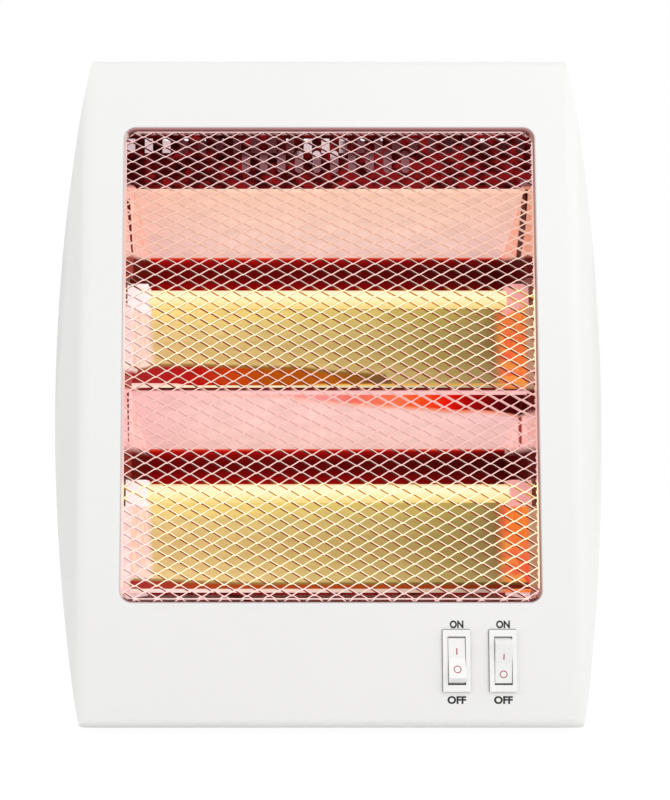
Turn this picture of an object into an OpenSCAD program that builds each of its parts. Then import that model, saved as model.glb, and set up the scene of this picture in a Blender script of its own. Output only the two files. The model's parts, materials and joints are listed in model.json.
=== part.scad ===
// Free-standing electric bar heater with two quartz tubes.
// The front leans back. Faces look along -Y, +X is to the right, +Z is up.
// The origin is on the floor, under the middle of the casing.

/* [Casing] */
// Width across the bowed sides at mid-height
casing_w = 293; // [290:1:298]
// Width across the top end
end_w = 249; // [246:1:254]
// Distance from the middle of the sides down to their widest point
bow_low = 6.5; // [4:0.5:8]
// Height from the floor to the top
casing_h = 350; // [348:1:352]
// Depth at the base
casing_d = 128; // [126:1:134]
// Width of the flat front face
face_w = 258; // [256:1:262]
// Angle that the front face leans back
lean = 5; // [4:0.5:6]
// Depth of the bevelled band beside the face
bevel_d = 28; // [26:1:30]
// Depth of the seam between the two shells
seam_d = 40; // [38:1:42]
// Wall thickness of the mouldings
wall = 2.5; // [2:0.25:3]
// Height of the feet
foot_h = 3; // [2:0.5:4]

/* [Window] */
// Width of the window
window_w = 215; // [212:1:218]
// Height of the window along the face
window_h = 247; // [245:1:248]
// Distance from the face's lower edge to the window
window_z = 64; // [63:0.5:65]
// Radius of the window's corners
window_r = 6; // [3:0.5:7]
// Columns of gaps in the guard mesh
mesh_columns = 8; // [6:1:8]
// Rows of gaps in the guard mesh
mesh_rows = 17; // [12:1:17]
// Width of a strand of the guard mesh
strand_w = 1.4; // [1:0.1:2]

/* [Reflectors] */
// Distance from one reflector lip to the next
trough_pitch = 106.5; // [105.5:0.5:107]
// Height of the lowest lip along the face
trough_z = 68; // [67.5:0.5:68.5]
// Depth of the reflector lips behind the face
lip_d = 9; // [9:0.5:9.5]
// Depth of the reflectors' back panels
back_d = 48; // [47:0.5:49]
// Height of each sloping reflector plate along the face
plate_h = 29.8; // [28.6:0.2:31]
// Width between the end plates at the lips
lip_w = 208; // [206:1:209]
// Width between the end plates at the back
back_w = 196; // [194:1:198]

/* [Heating tubes] */
// Outer radius of a quartz tube
tube_r = 5; // [4.5:0.25:5.5]
// Length of a quartz tube
tube_l = 206; // [204:1:207]
// Depth of the tube axis behind the face
tube_d = 36; // [35:0.5:37]
// Height of the lower tube's axis along the face
tube_low = 120.2; // [119.8:0.2:120.6]
// Distance from one tube to the next
tube_pitch = 105.6; // [105.2:0.2:106]
// Curls of the heating wire in each tube
coil_curls = 24; // [20:1:24]

/* [Switches] */
// Width of a switch frame
switch_w = 14; // [13.5:0.5:14.5]
// Height of a switch frame
switch_h = 31; // [30.5:0.5:31.5]
// Distance from the middle of the face to the left switch
switch_x = 63.5; // [60:0.5:68]
// Distance between the two switches
switch_pitch = 23.6; // [23:0.1:25]
// Height of the switches' pivots along the face
switch_z = 34.7; // [32:0.1:35]
// Tilt of a rocker to each side
rocker_tilt = 14; // [12:1:15]

/* [Hidden] */
$fn = 64;
fine = 256;
edge_steps = 6;
thin = 0.01;
far = 400;
sheet = 1;

// Casing, worked out from the values above
shell_h = casing_h - foot_h;
mid_z = foot_h + shell_h / 2;
bow = (casing_w - end_w) / 2;
bow_r = (pow(shell_h / 2 + bow_low, 2) + bow * bow) / (2 * bow);
edge_r = 5;
edge_gap = edge_r * (1 / tan(45 - lean / 2) - 1);

// Foremost point of the raised rocker, as depth and height along the face
pivot_d = 2.5;
rocker_r = 11.8;
rocker_top = 6.2;
rocker_end = sqrt(rocker_r * rocker_r - rocker_top * rocker_top);
nose_d = pivot_d - rocker_top * cos(rocker_tilt) - rocker_end * sin(rocker_tilt);
nose_z = switch_z - rocker_end * cos(rocker_tilt) + rocker_top * sin(rocker_tilt);
nose_y = nose_d * cos(lean) + nose_z * sin(lean);

// The rocker's nose and the rear wall are equally far from the origin
front_y = -(casing_d + edge_gap + nose_y) / 2;
rear_y = -front_y - nose_y;
top_front_y = front_y + shell_h * tan(lean);
top_rear_y = top_front_y + 73;
knee_z = 62;
bevel_slope = (casing_w - face_w) / 2 / bevel_d;

// The side view's corners, from the lower front round to the upper front
side_points = [
    [front_y, foot_h],
    [rear_y, foot_h],
    [rear_y, knee_z],
    [top_rear_y, casing_h],
    [top_front_y, casing_h]
];
side_radii = [edge_r, 8, 30, 14, 6];

// The plan view's corners, as x and depth behind the face
plan_half = casing_w / 2 + 4;
plan_points = [
    [-face_w / 2, 0],
    [face_w / 2, 0],
    [plan_half, (plan_half - face_w / 2) / bevel_slope],
    [plan_half, seam_d + 6],
    [face_w / 2 - 4, 134],
    [-face_w / 2 + 4, 134],
    [-plan_half, seam_d + 6],
    [-plan_half, (plan_half - face_w / 2) / bevel_slope]
];
plan_radii = [10, 10, 1, 1, 1, 1, 1, 1];

// Window, lips and guard
window_mid = window_z + window_h / 2;
lip_back = 8;
guard_d = 3;
guard_t = 0.8;
guard_half_w = window_w / 2 - 3;
guard_half_h = window_h / 2 - 3;
guard_rim = 1.4;
cell_w = 2 * (guard_half_w - guard_rim) / mesh_columns;
cell_h = 2 * (guard_half_h - guard_rim) / mesh_rows;

// Reflectors and tubes
troughs = [0, 1];
tube_z = [for (k = troughs) tube_low + tube_pitch * k];
shield_d = 55;
shield_top = 324;
slot_pitch = 10;
slot_row = 11 * slot_pitch;
slot_z = 313;
slot_w = 4.6;
vent_pitch = 11.4;
vent_w = 5;
cap_in = 97;
cap_out = 108;
cap_h = 14;
cap_front = tube_d - 10;
cap_back = tube_d + 10;
coil_r = 3;
wire_r = 0.5;
coil_l = 184;
coil_steps = 8;

// Casing screws
post_x = 112;
post_z = [22, 334];
post_r = 4.5;
post_end = 58;
screw_r = 1.5;

// Switches
rocker_w = 8.5;
pin_r = 1.5;
pin_l = 12;
frame_t = 2;
switches = [switch_x, switch_x + switch_pitch];
rest_tilt = [-rocker_tilt, rocker_tilt];

// Base, feet and tilt switch
base_x = 108;
base_front = -44;
base_rear = 48;
base_t = 2.5;
foot_r = 9;
foot_x = 92;
foot_y = [-34, 38];
plunger_x = -60;
plunger_y = 8;
plunger_r = 3;
plunger_fit = 0.06;
plunger_l = 42;
collar_z = 21;
ledge_screw_x = 60;
ledge_screw_y = [base_front - 3, base_rear + 3];
floor_z = foot_h + wall + base_t + 0.02;

// Screws that hold the end plates to the front shell
boss_x = 117;
boss_z = [82, 150, 232];
boss_r = 4;

// Rear cover
grip_w = 92;
grip_z = 268;
grip_h = 27;
grip_depth = 19;
gland_x = -88;
gland_z = 28;
gland_r = 6;
cord_bore_r = 3.6;

// Leads: each route runs through these points, in the face's own frame
lead_r = 1.2;
lead_sides = 8;
lead_steps = 2;
feed_route = [[-22, 81.4, 28.4], [-22, 79, 38], [-10, 72, 44], [20, 60, 44], [50, 44, 38],
    [switches[0] - 2.5, 34, switch_z + 0.8], [switches[0], 30, switch_z],
    [switches[0], 26.2, switch_z], [switches[0], 25.1, switch_z]];
common_route = [[-34, 81.4, 28.4], [-34, 80, 42], [-38, 76, 58], [-60, 70, 66], [-100, 66, 74],
    [-118, 60, 86], [-121, 48, 104], [-118, 38, 116], [-113, 36, 118], [-109.2, 36, 118],
    [-108.1, 36, 118]];
link_route = [[-108.1, 36, 122.4], [-109.2, 36, 122.4], [-113, 36, 122.4], [-118, 38, 127],
    [-120, 44, 140], [-120, 46, 165], [-120, 44, 205], [-118, 38, 221], [-113, 36, tube_z[1]],
    [-109.2, 36, tube_z[1]], [-108.1, 36, tube_z[1]]];
lower_route = [[switches[0], 25.1, switch_z + 8], [switches[0], 26.2, switch_z + 8],
    [switches[0], 32, switch_z + 8.2], [72, 42, 50], [98, 50, 61], [116, 50, 80], [119, 44, 100],
    [117, 38, 114], [113, 36, tube_z[0]], [109.2, 36, tube_z[0]], [108.1, 36, tube_z[0]]];
upper_route = [[switches[1], 25.1, switch_z + 8], [switches[1], 26.2, switch_z + 8],
    [switches[1], 31, switch_z + 8.1], [98, 42, 46], [114, 54, 58], [123, 57, 85], [123, 57, 160],
    [122, 50, 204], [118, 39, 221], [113, 36, tube_z[1]], [109.2, 36, tube_z[1]],
    [108.1, 36, tube_z[1]]];

function unit(v) = v / norm(v);

// A corner moved inwards so that it is the given distance from both its sides
function corner_in(p, i, d) =
    let (n = len(p), a = unit(p[(i + n - 1) % n] - p[i]), b = unit(p[(i + 1) % n] - p[i]))
    d == 0 ? p[i] : p[i] + unit(a + b) * d / sqrt((1 - a * b) / 2);

function shrink(p, d) = [for (i = [0:len(p) - 1]) corner_in(p, i, d)];

// The two points where a corner's rounding meets its sides
function tangents(p, i, r) =
    let (n = len(p), a = unit(p[(i + n - 1) % n] - p[i]), b = unit(p[(i + 1) % n] - p[i]),
        back = r * sqrt((1 + a * b) / (1 - a * b)))
    [p[i] + a * back, p[i] + b * back];

// Points along an arc about a centre
function arc(c, r, a0, a1) =
    [for (i = [0:edge_steps]) c + r * [cos(a0 + (a1 - a0) * i / edge_steps),
        sin(a0 + (a1 - a0) * i / edge_steps)]];

// The points of one rounded corner, the short way round
function corner_arc(p, i, r) =
    let (c = corner_in(p, i, r), t = tangents(p, i, r), u = t[0] - c, v = t[1] - c,
        a0 = atan2(u[1], u[0]), turn = atan2(u[0] * v[1] - u[1] * v[0], u * v))
    arc(c, r, a0, a0 + turn);

// A convex outline with round corners
module rounded(p, radii) {
    polygon([for (i = [0:len(p) - 1]) each radii[i] > 1 ? corner_arc(p, i, radii[i]) : [p[i]]]);
}

module rounded_box(w, h, r) {
    rounded([[-w / 2, -h / 2], [w / 2, -h / 2], [w / 2, h / 2], [-w / 2, h / 2]], [r, r, r, r]);
}

// The face's own frame: x across, y into the heater, z up along the face
module on_face() {
    translate([0, front_y, foot_h]) rotate([-lean, 0, 0]) children();
}

// Extrudes an outline of depth and height along x
module along_x(w) {
    rotate([90, 0, 90]) linear_extrude(w, center = true) children();
}

// Extrudes an outline of x and height into the heater
module along_depth(d0, d1) {
    translate([0, d1, 0]) rotate([90, 0, 0]) linear_extrude(d1 - d0) children();
}

// A rod along x
module rod_x(r, l) {
    rotate([0, 90, 0]) cylinder(r = r, h = l, center = true);
}

// A rod into the heater
module rod_depth(r, d0, d1) {
    translate([0, d0, 0]) rotate([-90, 0, 0]) cylinder(r = r, h = d1 - d0);
}

// The front view of the casing: two bowed sides and round corners
module bowed_outline(inset) {
    r = bow_r - inset;
    half = shell_h / 2 - inset;
    centre = bow_r - casing_w / 2;
    end_r = max(3.5 - inset, 1);
    top_rise = half - end_r + bow_low;
    low_rise = end_r - half + bow_low;
    top_x = sqrt(pow(r - end_r, 2) - pow(top_rise, 2)) - centre;
    low_x = sqrt(pow(r - end_r, 2) - pow(low_rise, 2)) - centre;
    top_a = atan2(top_rise, top_x + centre);
    low_a = atan2(low_rise, low_x + centre);
    low_arc = arc([low_x, end_r - half], end_r, -90, low_a);
    top_arc = arc([top_x, half - end_r], end_r, top_a, 90);
    wide = casing_w;
    right = concat(low_arc, [[wide, low_arc[edge_steps][1]], [wide, top_arc[0][1]]], top_arc);
    intersection() {
        translate([-centre, -bow_low]) circle(r, $fn = fine);
        translate([centre, -bow_low]) circle(r, $fn = fine);
        polygon(concat(right, [for (i = [len(right) - 1:-1:0]) [-right[i][0], right[i][1]]]));
    }
}

// The whole casing as one solid, drawn in by the inset
module casing_form(inset) {
    intersection() {
        along_x(far)
            rounded(shrink(side_points, inset), [for (r = side_radii) max(r - inset, 1)]);
        translate([0, 0, mid_z]) along_depth(-far / 2, far / 2) bowed_outline(inset);
        on_face() translate([0, 0, -far / 2]) linear_extrude(2 * far)
            rounded(shrink(plan_points, inset), [for (r = plan_radii) max(r - inset, 1)]);
    }
}

// Everything between two depths behind the face
module depths(d0, d1) {
    on_face() translate([-far / 2, d0, -far / 2]) cube([far, d1 - d0, 2 * far]);
}

// The space in the casing's underside that the base plate and its screws fill
module base_opening() {
    translate([-base_x, base_front, -thin])
        cube([2 * base_x, base_rear - base_front, foot_h + wall + 1]);
    translate([-base_x - 6.3, base_front - 6.3, foot_h + wall])
        cube([2 * base_x + 12.6, base_rear - base_front + 12.6, base_t + 0.3]);
    for (x = [-ledge_screw_x, ledge_screw_x]) for (y = ledge_screw_y) {
        translate([x, y, 0]) cylinder(r = 1.7, h = foot_h + wall + 1);
        translate([x, y, 0]) cylinder(r = 2.8, h = foot_h + 1.2);
    }
}

module front_panel() {
    color("white") {
        difference() {
            intersection() {
                casing_form(0);
                depths(-50, seam_d);
            }
            intersection() {
                casing_form(wall);
                depths(-60, seam_d + 10);
            }
            base_opening();
            on_face() {
                translate([0, 0, window_mid]) along_depth(-10, 20)
                    rounded_box(window_w, window_h, window_r);
                for (x = switches) {
                    translate([x - 6.4, -5, switch_z - 14.4]) cube([12.8, 20, 28.8]);
                }
            }
        }
        on_face() {
            translate([0, 0, window_mid]) along_depth(wall - 1, lip_back) difference() {
                rounded_box(window_w + 3.6, window_h + 3.6, window_r + 1.8);
                rounded_box(window_w, window_h, window_r);
            }
            for (x = [-post_x, post_x]) for (z = post_z) {
                translate([x, 0, z]) difference() {
                    rod_depth(post_r, wall - 1, post_end);
                    rod_depth(screw_r - 0.25, post_end - 16, post_end + 1);
                }
            }
            for (x = [-boss_x, boss_x]) for (z = boss_z) {
                translate([x, 0, z]) difference() {
                    rod_depth(boss_r, wall - 1, lip_d + sheet - 0.02);
                    rod_depth(screw_r - 0.25, wall + 0.5, lip_d + 5);
                }
            }
        }
    }
}

// The point of the rear wall's outer face at a height
function rear_at(z) = z < knee_z ? rear_y
    : rear_y + (top_rear_y - rear_y) * (z - knee_z) / (casing_h - knee_z);

module pill(w, h) {
    square([w, h - w], center = true);
    for (side = [-1, 1]) translate([0, side * (h - w) / 2]) circle(w / 2);
}

module rear_cover() {
    color("white") {
        difference() {
            union() {
                difference() {
                    intersection() {
                        casing_form(0);
                        depths(seam_d + 0.3, far / 2);
                    }
                    intersection() {
                        casing_form(wall);
                        depths(seam_d - 10, far / 2);
                    }
                }
                // tongue that slides into the front shell
                intersection() {
                    difference() {
                        casing_form(wall + 0.2);
                        casing_form(wall + 1.5);
                    }
                    depths(seam_d - 4, seam_d + 4);
                }
                intersection() {
                    difference() {
                        casing_form(wall - 0.5);
                        casing_form(wall + 1);
                    }
                    depths(seam_d + 0.3, seam_d + 4);
                }
                intersection() {
                    casing_form(1);
                    union() {
                        translate([-grip_w / 2 - 2, rear_at(grip_z) - grip_depth - 2, grip_z - 2])
                            cube([grip_w + 4, grip_depth + 20, grip_h + 4]);
                        on_face() for (x = [-post_x, post_x]) for (z = post_z) {
                            translate([x, 0, z]) rod_depth(post_r, post_end + 0.2, 140);
                        }
                    }
                }
            }
            base_opening();
            translate([-grip_w / 2, rear_at(grip_z) - grip_depth, grip_z])
                cube([grip_w, grip_depth + 20, grip_h]);
            on_face() for (x = [-post_x, post_x]) for (z = post_z) {
                translate([x, 0, z]) {
                    rod_depth(screw_r + 0.2, post_end - 1, 150);
                    rod_depth(3.1, post_end + 6, 150);
                }
            }
            // upper vents, then lower vents
            for (i = [-9:9]) {
                translate([i * vent_pitch, 0, 327]) along_depth(20, 80) pill(vent_w, 12);
            }
            for (i = [0:13]) {
                translate([(i - 6.5) * 10.4, 0, 100]) along_depth(40, 80) pill(vent_w, 36);
            }
            translate([gland_x, rear_y - 10, gland_z]) rotate([-90, 0, 0])
                cylinder(r = gland_r, h = 20);
        }
    }
}

module base_plate() {
    color("gainsboro") difference() {
        union() {
            translate([-base_x + 0.4, base_front + 0.4, foot_h])
                cube([2 * base_x - 0.8, base_rear - base_front - 0.8, base_t + 0.5]);
            translate([-base_x - 6, base_front - 6, foot_h + wall])
                cube([2 * base_x + 12, base_rear - base_front + 12, base_t]);
        }
        translate([plunger_x, plunger_y, 0]) cylinder(r = plunger_r + 0.8, h = 20);
        for (x = [-foot_x, foot_x]) for (y = foot_y) {
            translate([x, y, 0]) cylinder(r = 3, h = 20);
        }
        for (x = [-ledge_screw_x, ledge_screw_x]) for (y = ledge_screw_y) {
            translate([x, y, 0]) cylinder(r = screw_r + 0.05, h = 20);
        }
    }
}

module feet() {
    color("dimgray") for (x = [-foot_x, foot_x]) for (y = foot_y) {
        translate([x, y, 0]) {
            cylinder(r = foot_r, h = foot_h - 0.02);
            cylinder(r = 2.9, h = foot_h + wall + base_t + 1);
            translate([0, 0, foot_h + wall + base_t + 0.1]) cylinder(r = 4, h = 1.4);
        }
    }
}

// The guard is a tray of mesh: a flat net, sloping returns and a flange behind the window's lip
module guard_mesh() {
    gap_w = cell_w / 2 - strand_w;
    gap_h = gap_w * cell_h / cell_w;
    top_d = guard_d + guard_t;
    field_w = guard_half_w - guard_rim;
    field_h = guard_half_h - guard_rim;
    color("rosybrown") on_face() translate([0, 0, window_mid]) {
        along_depth(guard_d, top_d) difference() {
            square([2 * guard_half_w, 2 * guard_half_h], center = true);
            for (row = [0:2 * mesh_rows]) {
                for (column = [0:mesh_columns - row % 2]) {
                    x = column * cell_w + (row % 2) * cell_w / 2 - field_w;
                    z = row * cell_h / 2 - field_h;
                    polygon([for (p = [[-gap_w, 0], [0, -gap_h], [gap_w, 0], [0, gap_h]])
                        [max(-field_w, min(field_w, x + p[0])),
                            max(-field_h, min(field_h, z + p[1]))]]);
                }
            }
        }
        difference() {
            union() {
                for (side = [0, 1]) mirror([side, 0, 0]) {
                    translate([0, 0, -guard_half_h - 2]) linear_extrude(2 * guard_half_h + 4)
                        polygon([[guard_half_w - 1, guard_d], [guard_half_w, guard_d],
                            [window_w / 2 - 0.5, lip_back + 0.1],
                            [window_w / 2 + 4, lip_back + 0.1],
                            [window_w / 2 + 4, lip_back + 0.9],
                            [window_w / 2 - 1.1, lip_back + 0.9],
                            [guard_half_w - 1, top_d]]);
                }
                for (side = [0, 1]) mirror([0, 0, side]) {
                    along_x(2 * guard_half_w + 4)
                        polygon([[guard_d, guard_half_h - 1], [guard_d, guard_half_h],
                            [lip_back + 0.1, window_h / 2 - 0.5],
                            [lip_back + 0.1, window_h / 2 + 4],
                            [lip_back + 0.9, window_h / 2 + 4],
                            [lip_back + 0.9, window_h / 2 - 1.1],
                            [top_d, guard_half_h - 1]]);
                }
            }
            // the tray's corners are rounded to pass the window's lip
            along_depth(0, lip_back + 0.05) difference() {
                square([window_w + 20, window_h + 20], center = true);
                rounded_box(window_w - 0.4, window_h - 0.4, window_r - 0.2);
            }
        }
    }
}

// Spring clips that hold the guard's flange against the lip
module guard_clips() {
    flange_x = window_w / 2 + 4;
    back = lip_back + 1;
    color("silver") on_face() for (side = [0, 1]) {
        mirror([side, 0, 0]) for (z = [110, 190, 270]) {
            translate([0, 0, z - 5]) linear_extrude(10)
                polygon([[flange_x - 2, 3], [flange_x + 1.2, 3], [flange_x + 1.2, back + 0.9],
                    [flange_x - 3, back + 0.9], [flange_x - 3, back], [flange_x + 0.3, back],
                    [flange_x + 0.3, 3.9], [flange_x - 2, 3.9]]);
        }
    }
}

// One bent sheet of a reflector, as depth and height along the face
module trough_outline(k) {
    low = trough_z + trough_pitch * k + 0.4;
    top = low + trough_pitch - 0.8;
    polygon([
        [lip_d, low], [lip_d, low + 2.4], [lip_d + sheet, low + 2.4], [lip_d + sheet, low + 1.4],
        [back_d, low + plate_h], [back_d, top - plate_h],
        [lip_d + sheet, top - 1.4], [lip_d + sheet, top - 2.4], [lip_d, top - 2.4], [lip_d, top],
        [lip_d + 1.6, top], [back_d + sheet, top - plate_h + 0.4],
        [back_d + sheet, low + plate_h - 0.4], [lip_d + 1.6, low]
    ]);
}

// The space between the two end plates
module between_plates() {
    translate([0, 0, 40]) linear_extrude(300)
        polygon([[-lip_w / 2 + 0.3, lip_d - 1], [lip_w / 2 - 0.3, lip_d - 1],
            [back_w / 2 - 0.3, back_d], [back_w / 2 - 0.3, back_d + 4],
            [-back_w / 2 + 0.3, back_d + 4], [-back_w / 2 + 0.3, back_d]]);
}

module reflector(k) {
    color("khaki") on_face() intersection() {
        along_x(far) trough_outline(k);
        between_plates();
    }
}

module reflector_upper() {
    reflector(1);
}

module reflector_lower() {
    reflector(0);
}

// A folded end plate with a notch for each tube cap, on the right
module end_plate() {
    low = trough_z - 3;
    high = trough_z + 2 * trough_pitch + 2;
    color("peachpuff") on_face() difference() {
        translate([0, 0, low]) linear_extrude(high - low)
            polygon([[lip_w / 2, lip_d + sheet], [back_w / 2, back_d], [back_w / 2, shield_d - 0.1],
                [back_w / 2 + 12, shield_d - 0.1], [back_w / 2 + 12, shield_d - 1.1],
                [back_w / 2 + 1, shield_d - 1.1], [back_w / 2 + 1, back_d],
                [lip_w / 2 + 1, lip_d + 2 * sheet], [boss_x + 5, lip_d + 2 * sheet],
                [boss_x + 5, lip_d + sheet]]);
        for (z = tube_z) {
            translate([80, 0, z - cap_h / 2 - 0.3]) cube([60, cap_back + 0.3, cap_h + 0.6]);
        }
        for (z = [trough_z + 8, high - 10]) {
            translate([back_w / 2 + 7, 0, z]) rod_depth(screw_r + 0.1, 40, 60);
        }
        for (z = boss_z) {
            translate([boss_x, 0, z]) rod_depth(screw_r + 0.1, 5, 20);
        }
    }
}

module end_plate_right() {
    end_plate();
}

module end_plate_left() {
    mirror([1, 0, 0]) end_plate();
}

// Sheet that keeps the heat off the rear cover. Its wider top has a row of square vents,
// and a short row of rounded ones sits between and below them.
module heat_shield() {
    color("slategray") on_face() difference() {
        union() {
            translate([-back_w / 2 - 12, shield_d, trough_z - 3])
                cube([back_w + 24, sheet, shield_top - trough_z + 3]);
            translate([-slot_row - 7, shield_d, shield_top - 26])
                cube([2 * slot_row + 14, sheet, 26]);
        }
        for (i = [-11:11]) {
            translate([i * slot_pitch - slot_w / 2, shield_d - 1, slot_z]) cube([slot_w, 4, 8.5]);
        }
        for (i = [-4.5:4.5]) {
            translate([i * slot_pitch, 0, slot_z - 5]) along_depth(shield_d - 1, shield_d + 3)
                pill(slot_w, 13);
        }
        for (side = [-1, 1]) for (z = [trough_z + 8, trough_z + 2 * trough_pitch - 8]) {
            translate([side * (back_w / 2 + 7), 0, z]) rod_depth(screw_r + 0.1, 50, 60);
        }
    }
}

module plate_screws() {
    color("silver") on_face() for (x = [-boss_x, boss_x]) for (z = boss_z) {
        translate([x, 0, z]) {
            rod_depth(screw_r - 0.3, wall + 2, lip_d + 2 * sheet + 0.5);
            rod_depth(2.8, lip_d + 2 * sheet + 0.02, lip_d + 2 * sheet + 2);
        }
    }
}

module shield_screws() {
    color("silver") on_face() {
        for (side = [-1, 1]) for (z = [trough_z + 8, trough_z + 2 * trough_pitch - 8]) {
            translate([side * (back_w / 2 + 7), 0, z]) {
                rod_depth(1.5, shield_d - 5, shield_d + 2);
                rod_depth(3, shield_d + sheet + 0.05, shield_d + sheet + 2.2);
            }
        }
    }
}

module quartz_tube(k) {
    color("lemonchiffon") on_face() translate([0, tube_d, tube_z[k]]) difference() {
        rod_x(tube_r, tube_l);
        rod_x(tube_r - 1, tube_l + 2);
    }
}

module tube_upper() {
    quartz_tube(1);
}

module tube_lower() {
    quartz_tube(0);
}

// Points round each ring of a bent round bar that follows a line of points
function ring_points(line, r, sides) =
    let (
        last = len(line) - 1,
        dir = [for (i = [0:last]) unit(line[min(i + 1, last)] - line[max(i - 1, 0)])],
        first = unit(cross(dir[0], abs(dir[0][2]) < 0.8 ? [0, 0, 1] : [1, 0, 0])),
        normals = [for (i = 0, n = first; i <= last;
            i = i + 1, n = i <= last ? unit(n - (n * dir[i]) * dir[i]) : n) n]
    )
    [for (i = [0:last]) for (j = [0:sides - 1])
        line[i] + r * (cos(360 * j / sides) * normals[i]
            + sin(360 * j / sides) * cross(dir[i], normals[i]))];

// A closed bent bar, from rings joined by triangles and flat ends
module bent_bar(line, r, sides) {
    rings = len(line);
    walls = [for (i = [0:rings - 2]) for (j = [0:sides - 1])
        let (a = i * sides + j, b = i * sides + (j + 1) % sides)
        each [[a, b + sides, b], [a, a + sides, b + sides]]];
    start = [for (j = [1:sides - 2]) [0, j, j + 1]];
    finish = [for (j = [1:sides - 2])
        let (base = (rings - 1) * sides) [base, base + j + 1, base + j]];
    polyhedron(ring_points(line, r, sides), concat(walls, start, finish));
}

// The heating wire's line: straight tails, and curls between them
function coil_line() =
    let (turns = coil_curls, steps = turns * coil_steps)
    concat(
        [[-coil_l / 2 - 12, 0, 0], [-coil_l / 2 - 5, 0, 0]],
        [for (i = [0:steps])
            let (a = 360 * i / coil_steps, grow = min(1, i / coil_steps, (steps - i) / coil_steps))
            [coil_l * (i / steps - 0.5), coil_r * grow * cos(a), coil_r * grow * sin(a)]],
        [[coil_l / 2 + 5, 0, 0], [coil_l / 2 + 12, 0, 0]]
    );

// Least gap from the wire to itself, between points at least half a curl apart
coil_gap = let (p = coil_line(), n = len(p))
    min([for (i = [0:n - 1]) for (j = [i + coil_steps / 2:1:n - 1]) norm(p[i] - p[j])])
    - 2 * wire_r;
echo(coil_gap = coil_gap);

module heating_coil(k) {
    color("gold") on_face() translate([0, tube_d, tube_z[k]])
        bent_bar(coil_line(), wire_r, 6);
}

module coil_upper() {
    heating_coil(1);
}

module coil_lower() {
    heating_coil(0);
}

// A ceramic cap with a socket for the tube's end, on the right
module tube_cap(k) {
    color("mistyrose") on_face() translate([0, 0, tube_z[k]]) difference() {
        translate([cap_in, cap_front, -cap_h / 2])
            cube([cap_out - cap_in, cap_back - cap_front, cap_h]);
        translate([cap_in, tube_d, 0]) rod_x(tube_r + 0.08, 2 * (tube_l / 2 + 0.5 - cap_in));
        translate([cap_out, tube_d, 0]) rod_x(1, 20);
    }
}

module cap_upper_right() {
    tube_cap(1);
}

module cap_upper_left() {
    mirror([1, 0, 0]) tube_cap(1);
}

module cap_lower_right() {
    tube_cap(0);
}

module cap_lower_left() {
    mirror([1, 0, 0]) tube_cap(0);
}

// Frame and body of a rocker switch, round its pivot
module switch_frame(x) {
    opening_h = 2 * rocker_r + 0.7;
    color("whitesmoke") on_face() translate([x, 0, switch_z]) difference() {
        union() {
            along_depth(-frame_t, -0.02) rounded_box(switch_w, switch_h, 0.6);
            translate([-6.3, -0.5, -14.1]) cube([12.6, 17.5, 28.2]);
        }
        translate([-rocker_w / 2 - 0.35, -5, -opening_h / 2])
            cube([rocker_w + 0.7, 15, opening_h]);
        translate([0, pivot_d, 0]) rod_x(pin_r + 0.05, pin_l + 0.2);
    }
}

module switch_frame_left() {
    switch_frame(switches[0]);
}

module switch_frame_right() {
    switch_frame(switches[1]);
}

// A rocker with its pin, tilted about its pivot
module rocker(x, tilt) {
    color("white") on_face() translate([x, pivot_d, switch_z]) rotate([tilt, 0, 0]) {
        along_x(rocker_w) intersection() {
            circle(rocker_r, $fn = fine);
            polygon([[3, -20], [3, 20], [-rocker_top, 20], [-rocker_top, rocker_end],
                [1.3 - rocker_top, 0], [-rocker_top, -rocker_end], [-rocker_top, -20]]);
        }
        rod_x(pin_r, pin_l - 0.4);
    }
}

module rocker_left() {
    rocker(switches[0], rest_tilt[0]);
}

module rocker_right() {
    rocker(switches[1], rest_tilt[1]);
}

module switch_tabs() {
    color("goldenrod") on_face() for (x = switches) for (z = [-8, 0, 8]) {
        translate([x - 2.4, 17.02, switch_z + z - 0.4]) cube([4.8, 8, 0.8]);
    }
}

// Foot, rod and spring seat of the tip-over switch, pressed in by the floor
module tilt_plunger() {
    color("lightgray") translate([plunger_x, plunger_y, 0]) {
        cylinder(r = 6, h = foot_h - 0.4);
        cylinder(r = plunger_r, h = plunger_l);
        translate([0, 0, collar_z]) cylinder(r = 5, h = 2);
    }
}

module plunger_guide() {
    color("gray") translate([plunger_x, plunger_y, floor_z]) difference() {
        cylinder(r = 7, h = 7);
        translate([0, 0, -1]) cylinder(r = plunger_r + plunger_fit, h = 10);
    }
}

// Light return spring of the plunger, as one sleeve of its outer size
module plunger_spring() {
    color("silver") translate([plunger_x, plunger_y, collar_z + 2.05]) difference() {
        cylinder(r = 4.6, h = floor_z + 30 - collar_z - 2.1);
        translate([0, 0, -1]) cylinder(r = 3.7, h = 20);
    }
}

// Cut-off switch above the plunger, on legs that stand on the base plate
module tilt_switch() {
    color("dimgray") translate([plunger_x, plunger_y, floor_z]) {
        difference() {
            translate([-14, -7, 30]) cube([28, 14, 16]);
            translate([0, 0, 25]) cylinder(r = plunger_r + 0.6, h = 14);
        }
        for (x = [-14, 12]) translate([x, -7, 0]) cube([2, 14, 31]);
    }
}

module terminal_block() {
    color("ivory") translate([-40, 12, floor_z]) difference() {
        cube([24, 18, 16]);
        for (x = [6, 18]) translate([x, -1, 8]) rotate([-90, 0, 0]) cylinder(r = 2, h = 20);
    }
}

// Bimetal cut-out on the back of the heat shield
module thermal_cutout() {
    color("tan") on_face() translate([0, 0, 175]) {
        rod_depth(8, shield_d + sheet + 0.02, shield_d + 10);
        for (x = [-4, 4]) translate([x - 1.5, shield_d + 9, -0.4]) cube([3, 8, 0.8]);
    }
}

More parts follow.
